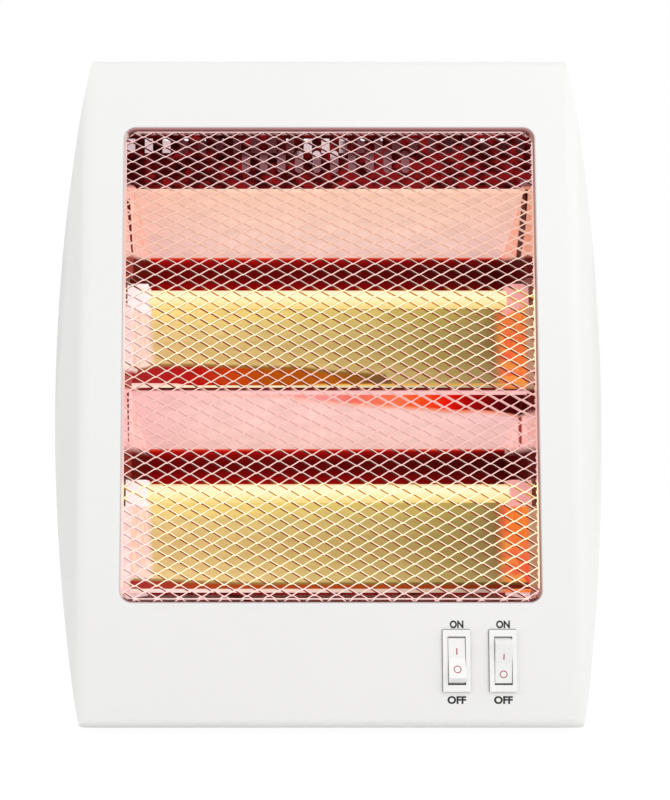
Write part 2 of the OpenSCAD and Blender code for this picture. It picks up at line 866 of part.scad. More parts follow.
// Bush for the mains cord, flush with the rear wall
module cord_gland() {
    color("gainsboro") translate([gland_x, rear_y, gland_z]) rotate([90, 0, 0]) difference() {
        union() {
            cylinder(r = gland_r - 0.1, h = 7);
            translate([0, 0, wall + 0.05]) cylinder(r = gland_r + 1.5, h = 2.5);
        }
        translate([0, 0, -1]) cylinder(r = cord_bore_r, h = 10);
    }
}

// A smooth curve through the given points
function curve_point(p, i, t) =
    let (n = len(p) - 1, a = p[max(i - 1, 0)], b = p[i], c = p[min(i + 1, n)], d = p[min(i + 2, n)])
    0.5 * (2 * b + (c - a) * t + (2 * a - 5 * b + 4 * c - d) * t * t
        + (3 * b - a - 3 * c + d) * t * t * t);

function curve(p, steps) =
    [for (i = [0:len(p) - 2]) for (s = [0:steps - 1]) curve_point(p, i, s / steps), p[len(p) - 1]];

module lead(route, tint) {
    color(tint) on_face() bent_bar(curve(route, lead_steps), lead_r, lead_sides);
}

module lead_feed() {
    lead(feed_route, "saddlebrown");
}

module lead_link() {
    lead(link_route, "royalblue");
}

module lead_common() {
    lead(common_route, "royalblue");
}

module lead_lower() {
    lead(lower_route, "sienna");
}

module lead_upper() {
    lead(upper_route, "sienna");
}

module casing_screws() {
    color("silver") on_face() for (x = [-post_x, post_x]) for (z = post_z) {
        translate([x, 0, z]) {
            rod_depth(screw_r - 0.3, post_end - 14, post_end + 7);
            rod_depth(2.8, post_end + 6.05, post_end + 8);
        }
    }
}

module base_screws() {
    color("silver") for (x = [-ledge_screw_x, ledge_screw_x]) for (y = ledge_screw_y) {
        translate([x, y, foot_h + 0.1]) cylinder(r = 2.6, h = 1.05);
        translate([x, y, foot_h + 0.1]) cylinder(r = screw_r, h = 7);
    }
}

front_panel();
rear_cover();
base_plate();
feet();
guard_mesh();
guard_clips();
reflector_upper();
reflector_lower();
end_plate_left();
end_plate_right();
heat_shield();
tube_upper();
tube_lower();
coil_upper();
coil_lower();
cap_upper_left();
cap_upper_right();
cap_lower_left();
cap_lower_right();
switch_frame_left();
switch_frame_right();
rocker_left();
rocker_right();
switch_tabs();
tilt_plunger();
plunger_spring();
plunger_guide();
tilt_switch();
terminal_block();
thermal_cutout();
cord_gland();
lead_feed();
lead_common();
lead_link();
lead_lower();
lead_upper();
casing_screws();
plate_screws();
shield_screws();
base_screws();
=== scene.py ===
import json
import math

import bpy
import numpy as np
from mathutils import Matrix, Vector

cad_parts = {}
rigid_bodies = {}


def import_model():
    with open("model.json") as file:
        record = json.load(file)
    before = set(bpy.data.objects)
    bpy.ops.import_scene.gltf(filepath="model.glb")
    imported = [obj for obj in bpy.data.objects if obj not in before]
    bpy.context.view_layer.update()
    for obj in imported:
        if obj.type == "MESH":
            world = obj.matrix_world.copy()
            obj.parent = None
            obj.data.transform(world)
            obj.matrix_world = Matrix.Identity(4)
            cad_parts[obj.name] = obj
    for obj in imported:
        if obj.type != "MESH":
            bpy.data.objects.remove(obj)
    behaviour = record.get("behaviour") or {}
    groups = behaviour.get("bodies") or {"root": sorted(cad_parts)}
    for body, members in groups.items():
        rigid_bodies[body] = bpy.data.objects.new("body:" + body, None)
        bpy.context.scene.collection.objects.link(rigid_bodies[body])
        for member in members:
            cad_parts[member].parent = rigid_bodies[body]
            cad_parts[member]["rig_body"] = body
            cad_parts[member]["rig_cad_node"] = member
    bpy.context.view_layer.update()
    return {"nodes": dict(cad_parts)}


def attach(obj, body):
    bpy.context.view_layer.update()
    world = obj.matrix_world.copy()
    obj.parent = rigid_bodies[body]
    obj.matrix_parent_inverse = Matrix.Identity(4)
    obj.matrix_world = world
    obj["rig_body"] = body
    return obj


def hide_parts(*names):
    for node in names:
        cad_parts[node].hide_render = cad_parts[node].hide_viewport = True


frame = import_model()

mm = 0.001

# The heater's face leans back about its lower front edge.
# Its own frame has x across, y into the heater and z up the face.
face = {"lean": math.radians(5), "frontY": -62.4202 * mm, "footH": 3 * mm}
faceToWorld = (Matrix.Translation((0, face["frontY"], face["footH"]))
               @ Matrix.Rotation(-face["lean"], 4, "X"))

print("frame loaded:", len(frame["nodes"]), "nodes")


# Small helpers

def hexColor(text):
    parts = [int(text[i:i + 2], 16) / 255 for i in (1, 3, 5)]
    linear = [c / 12.92 if c <= 0.04045 else ((c + 0.055) / 1.055) ** 2.4 for c in parts]
    return (*linear, 1.0)


def addNode(tree, kind, inputs=None, stops=None, **settings):
    # inputs are constants, hex colours or other nodes' outputs, stops a ramp's places and colours
    node = tree.nodes.new(kind)
    for name, value in settings.items():
        setattr(node, name, value)
    for name, value in (inputs or {}).items():
        if isinstance(value, bpy.types.NodeSocket):
            tree.links.new(value, node.inputs[name])
        else:
            node.inputs[name].default_value = hexColor(value) if isinstance(value, str) else value
    if stops:
        elements = node.color_ramp.elements
        while len(elements) < len(stops):
            elements.new(1.0)
        for element, (place, color) in zip(elements, stops):
            element.position = place
            element.color = hexColor(color) if isinstance(color, str) else (color,) * 3 + (1.0,)
    return node


def calc(tree, operation, first, second=0.0):
    return addNode(tree, "ShaderNodeMath", {0: first, 1: second}, operation=operation).outputs[0]


def between(tree, value, start, end, low=0.0, high=1.0):
    # the value's way from start to end, carried to low and high
    return addNode(tree, "ShaderNodeMapRange", {
        "Value": value, "From Min": start, "From Max": end,
        "To Min": low, "To Max": high}).outputs["Result"]


def ramp(tree, value, stops):
    # colours or greys at places given in millimetres
    start, end = stops[0][0], stops[-1][0]
    way = between(tree, value, start * mm, end * mm)
    return addNode(tree, "ShaderNodeValToRGB", {"Fac": way}, [
        ((place - start) / (end - start), color) for place, color in stops]).outputs["Color"]


def blend(tree, share, first, second, kind="MIX"):
    return addNode(tree, "ShaderNodeMix", {0: share, 6: first, 7: second},
                   data_type="RGBA", blend_type=kind).outputs[2]


def tint(tree, tone, shade):
    return blend(tree, 1.0, tone, shade, "MULTIPLY")


def joinAxes(tree, x, y, z):
    return addNode(tree, "ShaderNodeCombineXYZ", {"X": x, "Y": y, "Z": z}).outputs[0]


def noiseAt(tree, vector, grain, detail=2.0):
    # grain is the width of one blot
    return addNode(tree, "ShaderNodeTexNoise", {
        "Vector": vector, "Scale": 1 / grain, "Detail": detail}).outputs["Fac"]


def stretched(tree, vector, scale):
    place = addNode(tree, "ShaderNodeMapping", {"Vector": vector, "Scale": scale})
    return place.outputs["Vector"]


def objectPoint(tree):
    return addNode(tree, "ShaderNodeTexCoord").outputs["Object"]


def facePoint(tree):
    # a point of the surface in the face's own frame
    place = addNode(tree, "ShaderNodeMapping", {
        "Vector": objectPoint(tree), "Location": (0, face["frontY"], face["footH"]),
        "Rotation": (-face["lean"], 0, 0)}, vector_type="TEXTURE")
    return addNode(tree, "ShaderNodeSeparateXYZ", {"Vector": place.outputs["Vector"]})


def startMaterial(name, settings):
    material = bpy.data.materials.new(name)
    material.use_nodes = True
    tree = material.node_tree
    shader = tree.nodes["Principled BSDF"]
    for socket, value in settings.items():
        shader.inputs[socket].default_value = value
    return material, tree, shader


def addRelief(tree, shader, height, strength, distance):
    bump = addNode(tree, "ShaderNodeBump", {
        "Height": height, "Strength": strength, "Distance": distance})
    tree.links.new(bump.outputs["Normal"], shader.inputs["Normal"])


noiseSpan = (0.3, 0.7)      # a noise seldom leaves this range


def addGrain(tree, shader, grain, strength, distance, roughness, detail=2.0):
    # fine relief from a noise, and a gloss that drifts over a dozen grains
    point = objectPoint(tree)
    fine = noiseAt(tree, point, grain, detail)
    addRelief(tree, shader, fine, strength, distance)
    wide = noiseAt(tree, point, grain * 12, 3.0)
    tree.links.new(between(tree, wide, *noiseSpan, *roughness), shader.inputs["Roughness"])
    return fine


glowing = {"share": 0.45, "strength": 0.67}


def giveGlow(tree, shader, tone, share=glowing["share"], strength=glowing["strength"]):
    # a share of the tone is lit by the room, and a painted glow standing for the heater's own
    # light comes on top
    lit = tint(tree, tone, (share, share, share, 1.0))
    tree.links.new(lit, shader.inputs["Base Color"])
    tree.links.new(tone, shader.inputs["Emission Color"])
    shader.inputs["Emission Strength"].default_value = strength


def onlyThis(piece):
    bpy.ops.object.select_all(action="DESELECT")
    piece.select_set(True)
    bpy.context.view_layer.objects.active = piece


def settle(piece, name, material, body="casing", replaces=()):
    # names a finished piece, puts its place into its mesh and rides it
    piece.name = name
    piece.data.name = name
    onlyThis(piece)
    bpy.ops.object.transform_apply(location=True, rotation=True, scale=True)
    if material:
        piece.data.materials.clear()
        piece.data.materials.append(material)
    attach(piece, body)
    if replaces:
        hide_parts(*replaces)


def applyModifier(piece, kind, **settings):
    onlyThis(piece)
    modifier = piece.modifiers.new(kind.lower(), kind)
    for name, value in settings.items():
        setattr(modifier, name, value)
    bpy.ops.object.modifier_apply(modifier=modifier.name)


def faceToFrame(piece):
    # from the face's own frame to the heater's
    piece.data.transform(faceToWorld)
    piece.data.update()


def pointArray(piece):
    flat = np.empty(len(piece.data.vertices) * 3)
    piece.data.vertices.foreach_get("co", flat)
    return flat.reshape(-1, 3)


def putPoints(piece, points):
    piece.data.vertices.foreach_set("co", points.ravel())
    piece.data.update()


# Camera, lights and floor

def addAimed(name, data, place, direction):
    # a camera or lamp that looks along the direction
    thing = bpy.data.objects.new(name, data)
    bpy.context.scene.collection.objects.link(thing)
    thing.location = place
    thing.rotation_mode = "QUATERNION"
    thing.rotation_quaternion = Vector(direction).to_track_quat("-Z", "Y")
    return thing


# level, a little left of the heater's middle, and shifted instead of turned
view = {"eye": (-0.0281, -0.747, 0.165), "direction": (0, 1, 0), "lens": 60.98, "sensor": 36,
        "shiftX": 0.0739, "shiftY": 0.0116, "nearest": 0.01}

cameraData = bpy.data.cameras.new("camera")
cameraData.lens = view["lens"]
cameraData.sensor_width = view["sensor"]
cameraData.shift_x = view["shiftX"]
cameraData.shift_y = view["shiftY"]
cameraData.clip_start = view["nearest"]
bpy.context.scene.camera = addAimed("camera", cameraData, view["eye"], view["direction"])
bpy.context.scene.view_settings.view_transform = "Standard"

lamps = {
    "keyLight": {"at": (0.9, -1.5, 1.3), "size": 1.4, "power": 9.6},
    "fillLight": {"at": (-1.3, -1.2, 0.7), "size": 1.6, "power": 4.8},
    "sideLight": {"at": (1.7, -0.4, 0.6), "size": 1.2, "power": 3.5},
    "backLight": {"at": (0.2, 1.6, 1.2), "size": 1.4, "power": 7.0},
}
lampTarget = Vector((0, 0, 0.17))
for name, lamp in lamps.items():
    lightData = bpy.data.lights.new(name, "AREA")
    lightData.shape = "SQUARE"
    lightData.size = lamp["size"]
    lightData.energy = lamp["power"]
    addAimed(name, lightData, lamp["at"], lampTarget - Vector(lamp["at"]))

# the world lights the heater softly, and looks white to the camera and in reflections
studio = {"ambient": 0.68, "white": 1.0, "floorSize": 9, "floorPlace": (0, 1.5, -0.0003),
          "floorLow": "#ececec", "floorHigh": "#f0f0f0", "floorGlow": 0.92, "floorWhite": 1.04}


def rayIs(tree, *kinds):
    path = addNode(tree, "ShaderNodeLightPath").outputs
    seen = path[kinds[0]]
    for kind in kinds[1:]:
        seen = calc(tree, "MAXIMUM", seen, path[kind])
    return seen


world = bpy.data.worlds.new("studio")
bpy.context.scene.world = world
world.use_nodes = True
tree = world.node_tree
tree.nodes.clear()
seen = rayIs(tree, "Is Camera Ray", "Is Glossy Ray", "Is Transmission Ray")
soft = addNode(tree, "ShaderNodeBackground", {"Color": "#ffffff", "Strength": studio["ambient"]})
white = addNode(tree, "ShaderNodeBackground", {"Color": "#ffffff", "Strength": studio["white"]})
mixed = addNode(tree, "ShaderNodeMixShader", {0: seen, 1: soft.outputs[0], 2: white.outputs[0]})
addNode(tree, "ShaderNodeOutputWorld", {"Surface": mixed.outputs[0]})

bpy.ops.object.select_all(action="DESELECT")
bpy.ops.mesh.primitive_plane_add(size=studio["floorSize"], location=studio["floorPlace"])
floor = bpy.context.active_object
floor.name = "floor"
# pale paper that shows white to the camera and keeps a faint shadow
material, tree, shader = startMaterial("floorPaper", {"Specular IOR Level": 0.1})
mottle = addGrain(tree, shader, 25 * mm, 0.02, 0.001, (0.85, 0.95))
paper = blend(tree, mottle, studio["floorLow"], studio["floorHigh"])
tree.links.new(paper, shader.inputs["Base Color"])
seen = rayIs(tree, "Is Camera Ray", "Is Glossy Ray")
glow = addNode(tree, "ShaderNodeEmission", {"Color": "#ffffff", "Strength": studio["floorWhite"]})
lifted = addNode(tree, "ShaderNodeMixShader", {
    0: calc(tree, "MULTIPLY", seen, studio["floorGlow"]),
    1: shader.outputs[0], 2: glow.outputs[0]})
tree.links.new(lifted.outputs[0], tree.nodes["Material Output"].inputs["Surface"])
floor.data.materials.append(material)

print("camera, lights and floor ready")


# Plain materials

# Real grain, drawing lines and ink texture are 0.1 mm or less, too fine to show, so each is drawn
# as coarse as it needs to be.

def mouldedPlastic(name, low, high, roughness, grain, strength):
    # thermoplastic from a spark-eroded mould: satin, with a fine pebble and a slow drift of tone
    material, tree, shader = startMaterial(name, {"IOR": 1.54})
    addGrain(tree, shader, grain, strength, 0.2 * mm, roughness)
    drift = noiseAt(tree, objectPoint(tree), 111 * mm)      # about a hand's width
    tree.links.new(blend(tree, drift, low, high), shader.inputs["Base Color"])
    return material


def fineGrained(name, low, high, roughness, grain, strength):
    # ceramic, rubber, braid or ink: grain that also shows in the colour
    material, tree, shader = startMaterial(name, {"IOR": 1.5})
    fine = addGrain(tree, shader, grain, strength, 0.3 * mm, roughness, 3.0)
    tree.links.new(blend(tree, fine, low, high), shader.inputs["Base Color"])
    return material


def metalSheet(name, low, high, roughness, stretch, grain, strength=0.12):
    # rolled, drawn or plated metal: streaks along the direction of work
    material, tree, shader = startMaterial(name, {"Metallic": 1.0})
    streaks = noiseAt(tree, stretched(tree, objectPoint(tree), stretch), grain, 3.0)
    addRelief(tree, shader, streaks, strength, 0.1 * mm)
    tree.links.new(between(tree, streaks, 0.0, 1.0, *roughness), shader.inputs["Roughness"])
    tree.links.new(blend(tree, streaks, low, high), shader.inputs["Base Color"])
    return material


# ABS, moulded satin: off-white walls, and a duller base. The front gets shaded rims later on.
satinWhite = ("#f2f2f1", "#f5f5f4", (0.36, 0.46), 0.5263 * mm, 0.08)
casingPlastic = mouldedPlastic("mouldedCasingAbs", *satinWhite)
frontPlastic = mouldedPlastic("mouldedFrontAbs", *satinWhite)
basePlastic = mouldedPlastic(
    "mouldedBaseAbs", "#e4e4e1", "#eaeae7", (0.45, 0.6), 0.6667 * mm, 0.15)
# nylon from a polished mould: glossier and cleaner white than the casing
switchPlastic = mouldedPlastic(
    "polishedSwitchNylon", "#f8f8f7", "#fbfbfa", (0.22, 0.3), 1.111 * mm, 0.02)
rockerPlastic = mouldedPlastic(
    "polishedRockerNylon", "#efefee", "#f3f3f2", (0.22, 0.3), 1.111 * mm, 0.02)
# a faint painted glow brightens the rockers and evens out their shading
shader = rockerPlastic.node_tree.nodes["Principled BSDF"]
shader.inputs["Emission Color"].default_value = hexColor("#fbfbfa")
shader.inputs["Emission Strength"].default_value = 0.05
# glass-filled nylon, grey and dull, for what sits inside
innerPlastic = mouldedPlastic(
    "mouldedInnerNylon", "#8c8b86", "#97968f", (0.5, 0.62), 0.6667 * mm, 0.15)
# moulded rubber, near black and matt
footRubber = fineGrained(
    "mouldedFootRubber", "#232323", "#2e2e2e", (0.7, 0.85), 0.7143 * mm, 0.3)
# unglazed steatite is a matt warm white, and the cutout's ceramic is tan
blockCeramic = fineGrained(
    "pressedSteatite", "#f3e4df", "#fbf1ee", (0.5, 0.65), 0.625 * mm, 0.25)
cutoutCeramic = fineGrained(
    "pressedCutoutCeramic", "#cbbca6", "#d8ccb8", (0.5, 0.65), 0.625 * mm, 0.25)
# braided glass over the leads, varnished brown
leadSleeve = fineGrained(
    "braidedGlassSleeve", "#8a6547", "#9f7a59", (0.7, 0.85), 0.3846 * mm, 0.5)
# red plastic laid into the rockers, and matt black printing ink
switchMark = fineGrained(
    "inlaidRedMark", "#a83c3c", "#b24644", (0.35, 0.45), 0.8333 * mm, 0.05)
padPrint = fineGrained(
    "padPrintedBlackInk", "#060708", "#0c0d0e", (0.4, 0.5), 0.6667 * mm, 0.1)
# bright zinc on the screws and clips, yellow rolled brass, and grey drawn spring wire
zincSteel = metalSheet(
    "zincPlatedSteel", "#a9aaae", "#c6c7ca", (0.28, 0.42), (1, 1, 1), 1.111 * mm)
tabBrass = metalSheet(
    "plainRolledBrass", "#c9a24f", "#d8b566", (0.25, 0.38), (1, 6, 1), 2.5 * mm)
springSteel = metalSheet(
    "drawnSpringSteel", "#8f9196", "#b3b5b9", (0.25, 0.4), (1, 1, 6), 1.429 * mm)


def baseTone(material):
    shader = material.node_tree.nodes["Principled BSDF"]
    return shader.inputs["Base Color"].links[0].from_socket


# The front's own material is painted with shade in the fine gaps round the switch frames and the
# window.
# Places are in millimetres on the face.
frameShadeRim = {"half": (7.0, 15.5), "round": 0.6, "width": 0.5, "tone": "#747478"}
paintedShadeRims = [
    {"at": (63.5, 34.7), **frameShadeRim},
    {"at": (87.1, 34.7), **frameShadeRim},
    {"at": (0.0, 187.5), "half": (107.5, 123.5), "round": 6.0, "width": 0.8, "tone": "#b9aeb0"},
]


def shadeRims(material):
    tree = material.node_tree
    tone = baseTone(material)
    point = facePoint(tree)
    for rim in paintedShadeRims:
        outside = []
        for axis, centre, half in zip(("X", "Z"), rim["at"], rim["half"]):
            away = calc(tree, "ABSOLUTE", calc(tree, "SUBTRACT", point.outputs[axis], centre * mm))
            away = calc(tree, "SUBTRACT", away, (half - rim["round"]) * mm)
            outside.append(calc(tree, "POWER", calc(tree, "MAXIMUM", away, 0.0), 2.0))
        away = calc(tree, "SQRT", calc(tree, "ADD", *outside))
        dark = between(tree, away, rim["round"] * mm, (rim["round"] + rim["width"]) * mm, 1.0, 0.0)
        tone = blend(tree, dark, tone, tint(tree, tone, rim["tone"]))
    tree.links.new(tone, tree.nodes["Principled BSDF"].inputs["Base Color"])


shadeRims(frontPlastic)

# painted shade in the narrow gap round each rocker, darker with its depth
gapShade = {"outer": -0.9, "inner": -0.3, "tone": "#5c5c60"}
tree = switchPlastic.node_tree
deep = between(tree, facePoint(tree).outputs["Y"], gapShade["outer"] * mm, gapShade["inner"] * mm)
tone = blend(tree, deep, baseTone(switchPlastic), gapShade["tone"])
tree.links.new(tone, tree.nodes["Principled BSDF"].inputs["Base Color"])


# Painted glow on the sheets and caps, and the glowing tubes

# The heater's glow is painted onto its bright sheets: each goes from a pink upper plate lit by the
# glow, through a band of painted dark reflection, to a straw-coloured foot that shows the tube's
# painted reflection. Places are in millimetres, heights from the middle of the sheet, which stands
# this far up the face.
sheetMids = {"upper": 227.75, "lower": 121.25}

strawReflectionTones = [(-50.4, "#eccf98"), (-44, "#e7ca90"), (-36, "#ddbe84"), (-26, "#dabb82"),
              (-16, "#e2c688"), (-10, "#f2d68a"), (-6, "#f8de92"), (-4, "#c08a54"),
              (-2.6, "#960404")]
darkReflectionTones = [(6, "#900303"), (11, "#680202"), (16, "#5e0202"), (20, "#820404"), (22, "#a80806"),
             (22.7, "#c82a1c"), (23.3, "#e04a34")]
upperTones = ([(-53.25, "#fff8dc"), (-51.9, "#fff4d4"), (-51.6, "#f6d8ac")]
              + strawReflectionTones + darkReflectionTones
              + [(23.7, "#f2ccc6"), (30, "#f6d3cc"), (40, "#f7d3c4"), (49, "#f8d2be"),
                 (51.5, "#f8ceb6"), (53.25, "#ffdccc")])
lowerTones = ([(-53.25, "#82302d"), (-52.9, "#ffe1e1"), (-51.1, "#ffe1e1"), (-50.8, "#d89c68")]
              + strawReflectionTones + darkReflectionTones
              + [(23.7, "#f6ccc6"), (30, "#fad2cc"), (40, "#fad2d0"), (49, "#fad2ce"),
                 (50.6, "#fccac8"), (51.9, "#fabcb8"), (52.1, "#5a1612"), (53.25, "#4a100e")])
# how the painted reflections in the straw and dark parts darken from left to right
acrossTones = [(-104, "#ffffff"), (-60, "#fafbf0"), (0, "#e4e7d4"), (29, "#d8dac8"),
               (61.5, "#c0c2a8"), (83.4, "#aeafa2"), (95, "#948a80"), (104, "#948a80")]
# and how the painted glow on the bright plates turns pinker towards their ends
plateEndGlowTones = [(-106, "#faecef"), (-50, "#ffffff"), (50, "#ffffff"), (106, "#fcf6f8")]
# the end plates mirrored in the sloping foot, their edges upright in the picture
strips = {"left": {"from": 92.5, "to": 95.5, "tones": ("#fbe0d2", "#f6d2c4")},
          "right": {"from": 89.0, "to": 95.0, "tones": ("#f09c4c", "#ec6c48")}}

# Wedges of painted reflection where one sheet mirrors another. Each grows up or down from a base
# height, as far as its edge says at places across, and a soft wider one lies under it.
upperEdge = [(-105, 8.8), (-98, 10.1), (-92, 12.3), (-68, 12.3), (-32, 10.7), (-15, 10.7),
             (-2, 8.2), (9, 7.5), (30, 5.7)]
lowerEdge = [(-104, 0.0), (-30, 0.2), (8.5, 4.2), (35, 5.5), (51, 6.4), (67, 7.6), (81, 7.6),
             (91.5, 8.5), (104, 10.6)]
footEdge = [(-104, 4.15), (-94, 4.15), (-73, 3.2), (-52, 2.4), (-35, 2.2), (104, 2.2)]
upperWedges = [
    {"base": 175.9, "sign": 1, "soft": 1.6, "lift": 2.2,
     "edge": upperEdge + [(34, 0.0), (104, 0.0)],
     "tones": [(-105, "#9a6a4a"), (-60, "#94682e"), (40, "#7c6028"), (104, "#7c6028")]},
    {"base": 175.9, "sign": 1, "soft": 1.0, "lift": 0.0,
     "edge": upperEdge + [(33.5, 0.0), (104, 0.0)],
     "tones": [(-104, "#9c1c20"), (-94, "#a8101a"), (-78, "#b00814"), (-68, "#b80808"),
               (-57, "#be3208"), (-47, "#c04000"), (-32, "#b04e00"), (-15, "#ac5004"),
               (1, "#af5a0a"), (11, "#96550a"), (27, "#6e5032"), (104, "#6e5032")]},
    {"base": 175.9, "sign": 1, "soft": 0.3, "lift": 0.0,
     "edge": [(-105, 1.4), (-80, 1.2), (-72, 0.0), (-20, 0.0), (-10, 1.0), (104, 1.2)],
     "tones": [(-104, "#ffd2cc"), (-76, "#ffc8be"), (-40, "#c80a0a"), (0, "#e6aa46"),
               (104, "#d8a050")]},
]
lowerWedges = [
    {"base": 171.3, "sign": -1, "soft": 1.6, "lift": 1.8,
     "edge": lowerEdge,
     "tones": [(-104, "#fbc6bc"), (0, "#fabcb0"), (40, "#fa9c78"), (60, "#fa8a64"),
               (104, "#f0a088")]},
    {"base": 171.3, "sign": -1, "soft": 0.8, "lift": 0.0,
     "edge": lowerEdge,
     "tones": [(-104, "#faaaa5"), (-30, "#faaaa5"), (1, "#f59696"), (11, "#f57869"),
               (37, "#fa7850"), (45, "#fa5a28"), (61.5, "#eb1405"), (72, "#aa0005"),
               (79.5, "#8c0005"), (87.5, "#5f0005"), (95, "#4b0005"), (101, "#3c0005"),
               (104, "#783214")]},
    {"base": 70.4, "sign": 1, "soft": 1.0, "lift": 1.4,
     "edge": footEdge,
     "tones": [(-104, "#a08050"), (0, "#8a7038"), (104, "#50401c")]},
    {"base": 70.4, "sign": 1, "soft": 0.6, "lift": 0.0,
     "edge": footEdge,
     "tones": [(-104, "#a52d2d"), (-52, "#aa4614"), (0, "#aa4614"), (52, "#963c14"),
               (104, "#5a140a")]},
]

# where the mirror band ends, where the mirrored end plates stop and how far their edges lean, and
# the rolling streaks, drawn coarse enough to show
sheetLook = {
    "shader": {"Metallic": 0.2, "Specular IOR Level": 0.05}, "roughness": (0.38, 0.55),
    "bandTop": (22, 23.4), "stripTop": (-6, -4), "foot": (-53, -23), "lean": 3.0,
    "tallest": 20, "patch": 11.765, "patchSpan": (0.42, 0.58),
    "streak": 3.846, "streakStretch": (0.25, 1, 1), "streakLevels": (0.90, 1.08),
}


def glowSheet(name, mid, tones, wedges):
    # bright rolled aluminium with the heater's own light painted on as glow and reflection
    look = sheetLook
    material, tree, shader = startMaterial(name, look["shader"])
    point = facePoint(tree)
    across, up = point.outputs["X"], point.outputs["Z"]

    def overHeights(span, low, high):
        return between(tree, up, (mid + span[0]) * mm, (mid + span[1]) * mm, low, high)

    tone = ramp(tree, up, [(mid + z, color) for z, color in tones])
    shade = blend(tree, overHeights(look["bandTop"], 1.0, 0.0), ramp(tree, across, plateEndGlowTones),
                  ramp(tree, across, acrossTones))
    tone = tint(tree, tone, shade)
    # the mirrored end plates, up to the dark band
    slant = overHeights(look["foot"], -look["lean"] * mm, look["lean"] * mm)
    under = overHeights(look["stripTop"], 1.0, 0.0)
    out = calc(tree, "SUBTRACT", calc(tree, "ABSOLUTE", across), slant)
    left = calc(tree, "LESS_THAN", across, 0.0)
    right = calc(tree, "SUBTRACT", 1.0, left)
    patches = noiseAt(tree, objectPoint(tree), look["patch"] * mm)
    patches = between(tree, patches, *look["patchSpan"])
    for side, here in (("left", left), ("right", right)):
        strip = strips[side]
        inside = between(tree, out, strip["from"] * mm, strip["to"] * mm)
        inside = calc(tree, "MULTIPLY", calc(tree, "MULTIPLY", inside, under), here)
        tone = blend(tree, inside, tone, blend(tree, patches, *strip["tones"]))
    for wedge in wedges:
        away = calc(tree, "SUBTRACT", up, wedge["base"] * mm)
        away = calc(tree, "MULTIPLY", away, wedge["sign"])
        heights = [(x, h + wedge["lift"] if h > 0 else h) for x, h in wedge["edge"]]
        # a ramp holds no more than 1, so it gives the edge as a share of the tallest
        edge = ramp(tree, across, [(x, h / look["tallest"]) for x, h in heights])
        room = calc(tree, "SUBTRACT", calc(tree, "MULTIPLY", edge, look["tallest"] * mm), away)
        inside = between(tree, room, 0.0, wedge["soft"] * mm)
        inside = calc(tree, "MULTIPLY", inside, calc(tree, "GREATER_THAN", away, 0.0))
        tone = blend(tree, inside, tone, ramp(tree, across, wedge["tones"]))
    flat = stretched(tree, joinAxes(tree, across, 0.0, up), look["streakStretch"])
    streaks = noiseAt(tree, flat, look["streak"] * mm, 4.0)
    level = between(tree, streaks, *noiseSpan, *look["streakLevels"])
    giveGlow(tree, shader, tint(tree, tone, joinAxes(tree, level, level, level)))
    tree.links.new(between(tree, streaks, 0.0, 1.0, *look["roughness"]),
                   shader.inputs["Roughness"])
    addRelief(tree, shader, streaks, 0.1, 0.2 * mm)
    return material


upperSheet = glowSheet("brightRolledSheetUpper", sheetMids["upper"], upperTones, upperWedges)
lowerSheet = glowSheet("brightRolledSheetLower", sheetMids["lower"], lowerTones, lowerWedges)

# Each end plate's light and shade is painted on: above the tubes the edges of its lit zones rise
# towards the front. Its front flange has painted light of its own, and shallow dents from handling
# carry painted red reflections in patches.
wallLook = {
    "shader": {"Metallic": 0.25, "Specular IOR Level": 0.1}, "roughness": (0.35, 0.55),
    "fanDepth": 45, "fanHeight": 165, "fanRise": 1.9, "flange": (11.5, 13),
    "gapSoft": 0.2, "gapEnd": 0.8,
    "dent": 5.263, "dentSpan": (0.35, 0.65), "reflectionLevels": (0.78, 1.08),
}


def wallSheet(name, tones, flangeTones, gaps):
    # an end plate of bright rolled aluminium with the light of the tubes' ends painted on: tones
    # are by height
    look = wallLook
    material, tree, shader = startMaterial(name, look["shader"])
    point = facePoint(tree)
    across, deep, up = (point.outputs[axis] for axis in "XYZ")
    ahead = calc(tree, "SUBTRACT", look["fanDepth"] * mm, deep)
    above = calc(tree, "SUBTRACT", up, look["fanHeight"] * mm)
    above = calc(tree, "MAXIMUM", above, 0.0)
    fanned = calc(tree, "MULTIPLY", calc(tree, "MULTIPLY", ahead, above), look["fanRise"])
    fanned = calc(tree, "ADD", up, fanned)
    tone = ramp(tree, fanned, tones)
    start, end = look["flange"]
    near = between(tree, deep, start * mm, end * mm, 1.0, 0.0)
    tone = blend(tree, near, tone, ramp(tree, fanned, flangeTones))
    # painted shade in the gap between a bright plate's end and this one
    soft = look["gapSoft"] * mm
    for gap in gaps:
        (low, lowX), (high, highX) = gap["ends"]
        lowW, highW = gap["wide"]
        line = between(tree, up, low * mm, high * mm, lowX * mm, highX * mm)
        half = between(tree, up, low * mm, high * mm, lowW * mm / 2, highW * mm / 2)
        away = calc(tree, "SUBTRACT", calc(tree, "ABSOLUTE", across), line)
        away = calc(tree, "ABSOLUTE", away)
        inside = between(tree, calc(tree, "SUBTRACT", away, half), -soft, soft, 1.0, 0.0)
        for limit, sign in ((low, 1), (high, -1)):
            past = calc(tree, "MULTIPLY", calc(tree, "SUBTRACT", up, limit * mm), sign)
            fade = between(tree, past, 0.0, look["gapEnd"] * mm)
            inside = calc(tree, "MULTIPLY", inside, fade)
        tone = blend(tree, inside, tone, gap["tone"])
    dentsAndReflections = noiseAt(tree, objectPoint(tree), look["dent"] * mm)
    level = between(tree, dentsAndReflections, *look["dentSpan"], *look["reflectionLevels"])
    giveGlow(tree, shader, tint(tree, tone, joinAxes(tree, 1.0, level, level)))
    tree.links.new(between(tree, dentsAndReflections, 0.0, 1.0, *look["roughness"]), shader.inputs["Roughness"])
    addRelief(tree, shader, dentsAndReflections, 0.1, 0.2 * mm)
    return material


